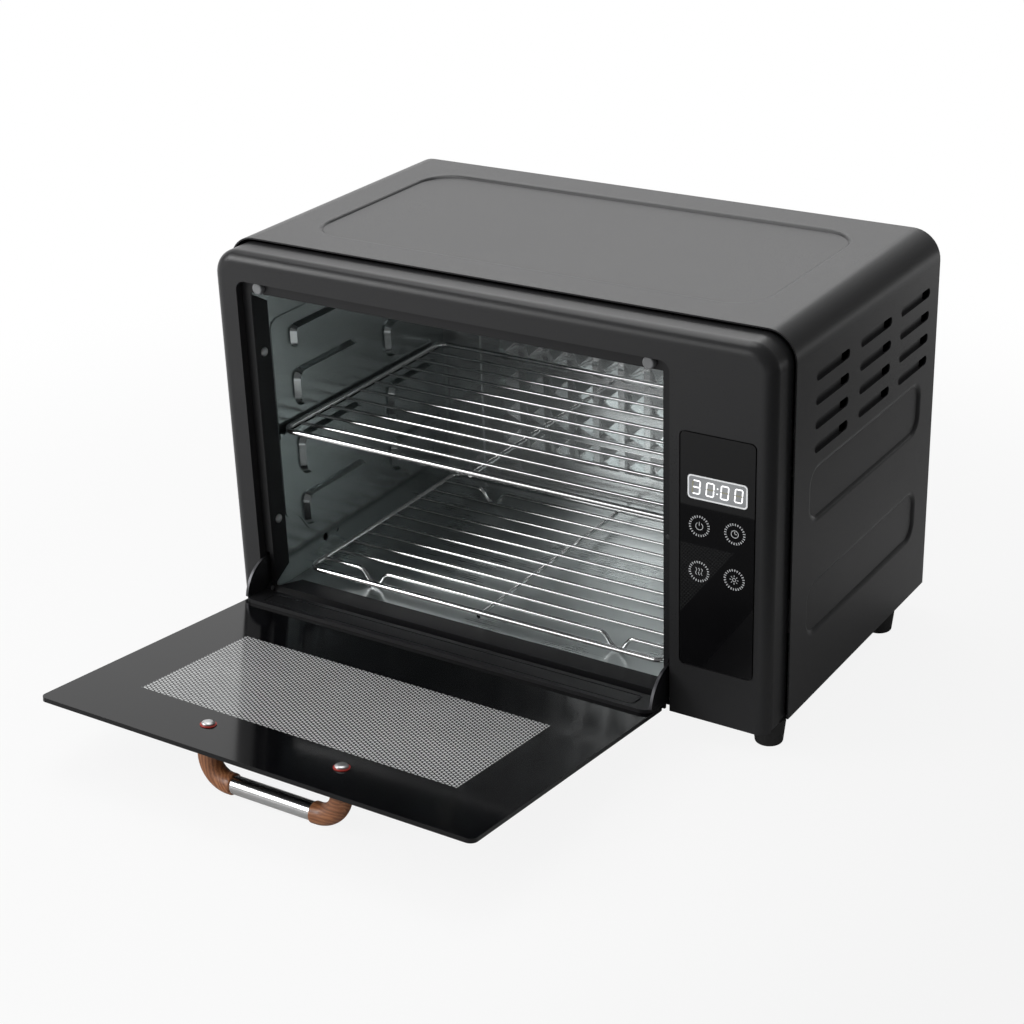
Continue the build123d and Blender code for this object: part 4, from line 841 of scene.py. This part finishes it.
# Floor: white for the camera with the object's shadow left in, and white behind for metal and glass
floor_shape = bmesh.new()
bmesh.ops.create_grid(floor_shape, x_segments=1, y_segments=1, size=floor_half)
floor_mesh = bpy.data.meshes.new("floor")
floor_shape.to_mesh(floor_mesh)
floor_shape.free()
floor = bpy.data.objects.new("floor", floor_mesh)
bpy.context.scene.collection.objects.link(floor)
pale_floor = Surface("pale_floor", Roughness=0.9, Specular_IOR_Level=0.1)
x, y, z = pale_floor.place()
shaded = pale_floor.step(towards(x, y, shaded_side), *shaded_reach)
pale_floor.set(Base_Color=pale_floor.mix(shaded, grey(0.55), grey(0.14)))
away = (x * x + y * y) ** 0.5
open_floor = shadow_keep + (1.0 - shadow_keep) * pale_floor.step(away, *shadow_reach)
white_floor = (pale_floor.step(towards(x, y, back_side), *back_reach)
               | pale_floor.step(towards(x, y, front_side), *front_reach) * front_white)
camera_ray, mirror_ray = pale_floor.rays()
glow = pale_floor.node("ShaderNodeEmission", inputs={"Color": grey(1.0), "Strength": 1.0})
lit = Wire(pale_floor, pale_floor.shader.outputs[0])
whitened = pale_floor.node("ShaderNodeMixShader", inputs={
    0: camera_ray * open_floor | mirror_ray * white_floor, 1: lit, 2: glow})
pale_floor.tree.links.new(whitened.socket, pale_floor.tree.nodes["Material Output"].inputs["Surface"])
floor_mesh.materials.append(pale_floor.material)

# World: white for the camera; for metal and glass, white behind the object and dim towards the viewer
world = bpy.data.worlds.new("studio")
world.use_nodes = True
bpy.context.scene.world = world
studio = Finish(world.node_tree)
sky_x, sky_y, sky_z = studio.parts(studio.node("ShaderNodeTexCoord", output="Generated"))
behind = studio.step(towards(sky_x, sky_y, back_side), *sky_reach)
camera_ray, mirror_ray = studio.rays()
room = studio.mix(behind, grey(0.14), grey(1.0))
ambient = studio.mix(mirror_ray, grey(0.4), room)
sky = studio.mix(camera_ray, ambient, grey(1.0))
studio.tree.links.new(sky.socket, studio.tree.nodes["Background"].inputs["Color"])

# Softboxes: place, the point that each one faces, width and height, and power
softboxes = {
    "softbox_key": ((-1.5, -1.25, 0.9), (0.05, 0.1, 0.1), (0.8, 0.8), 11.0),
    "softbox_door": ((-0.95, -0.6, 0.85), (-0.15, -0.35, 0.03), (0.5, 0.5), 4.0),
    "softbox_fill": ((-1.0, -1.8, 0.9), (0.0, 0.1, 0.1), (1.5, 1.2), 12.0),
    "softbox_top": ((-0.5, 0.3, 1.7), (-0.1, 0.0, 0.2), (1.2, 1.0), 12.0),
    "softbox_back": ((-1.1, 2.1, 1.8), (0.0, 0.1, 0.2), (1.6, 0.9), 9.5),
}
for name, (place, target, size, power) in softboxes.items():
    lamp = bpy.data.lights.new(name, "AREA")
    lamp.shape = "RECTANGLE"
    lamp.size, lamp.size_y = size
    lamp.energy = power
    holder = bpy.data.objects.new(name, lamp)
    holder.visible_camera = False
    bpy.context.scene.collection.objects.link(holder)
    aim = (Vector(target) - Vector(place)).to_track_quat("-Z", "Y").to_matrix().to_4x4()
    holder.matrix_world = Matrix.Translation(place) @ aim

# Camera, turned to its azimuth and elevation and then rolled
ahead = Vector((-math.sin(camera_azimuth) * math.cos(camera_elevation),
                math.cos(camera_azimuth) * math.cos(camera_elevation), -math.sin(camera_elevation)))
level_right = Vector((math.cos(camera_azimuth), math.sin(camera_azimuth), 0.0))
level_up = level_right.cross(ahead)
right = level_right * math.cos(camera_roll) + level_up * math.sin(camera_roll)
up = level_up * math.cos(camera_roll) - level_right * math.sin(camera_roll)
camera_data = bpy.data.cameras.new("camera")
camera_data.lens = camera_lens
camera_data.sensor_width = sensor_width
camera_data.clip_end = camera_far
camera = bpy.data.objects.new("camera", camera_data)
camera.matrix_world = Matrix.Translation(camera_place) @ Matrix((right, up, -ahead)).transposed().to_4x4()
bpy.context.scene.collection.objects.link(camera)
bpy.context.scene.camera = camera
bpy.context.scene.view_settings.view_transform = "Standard"
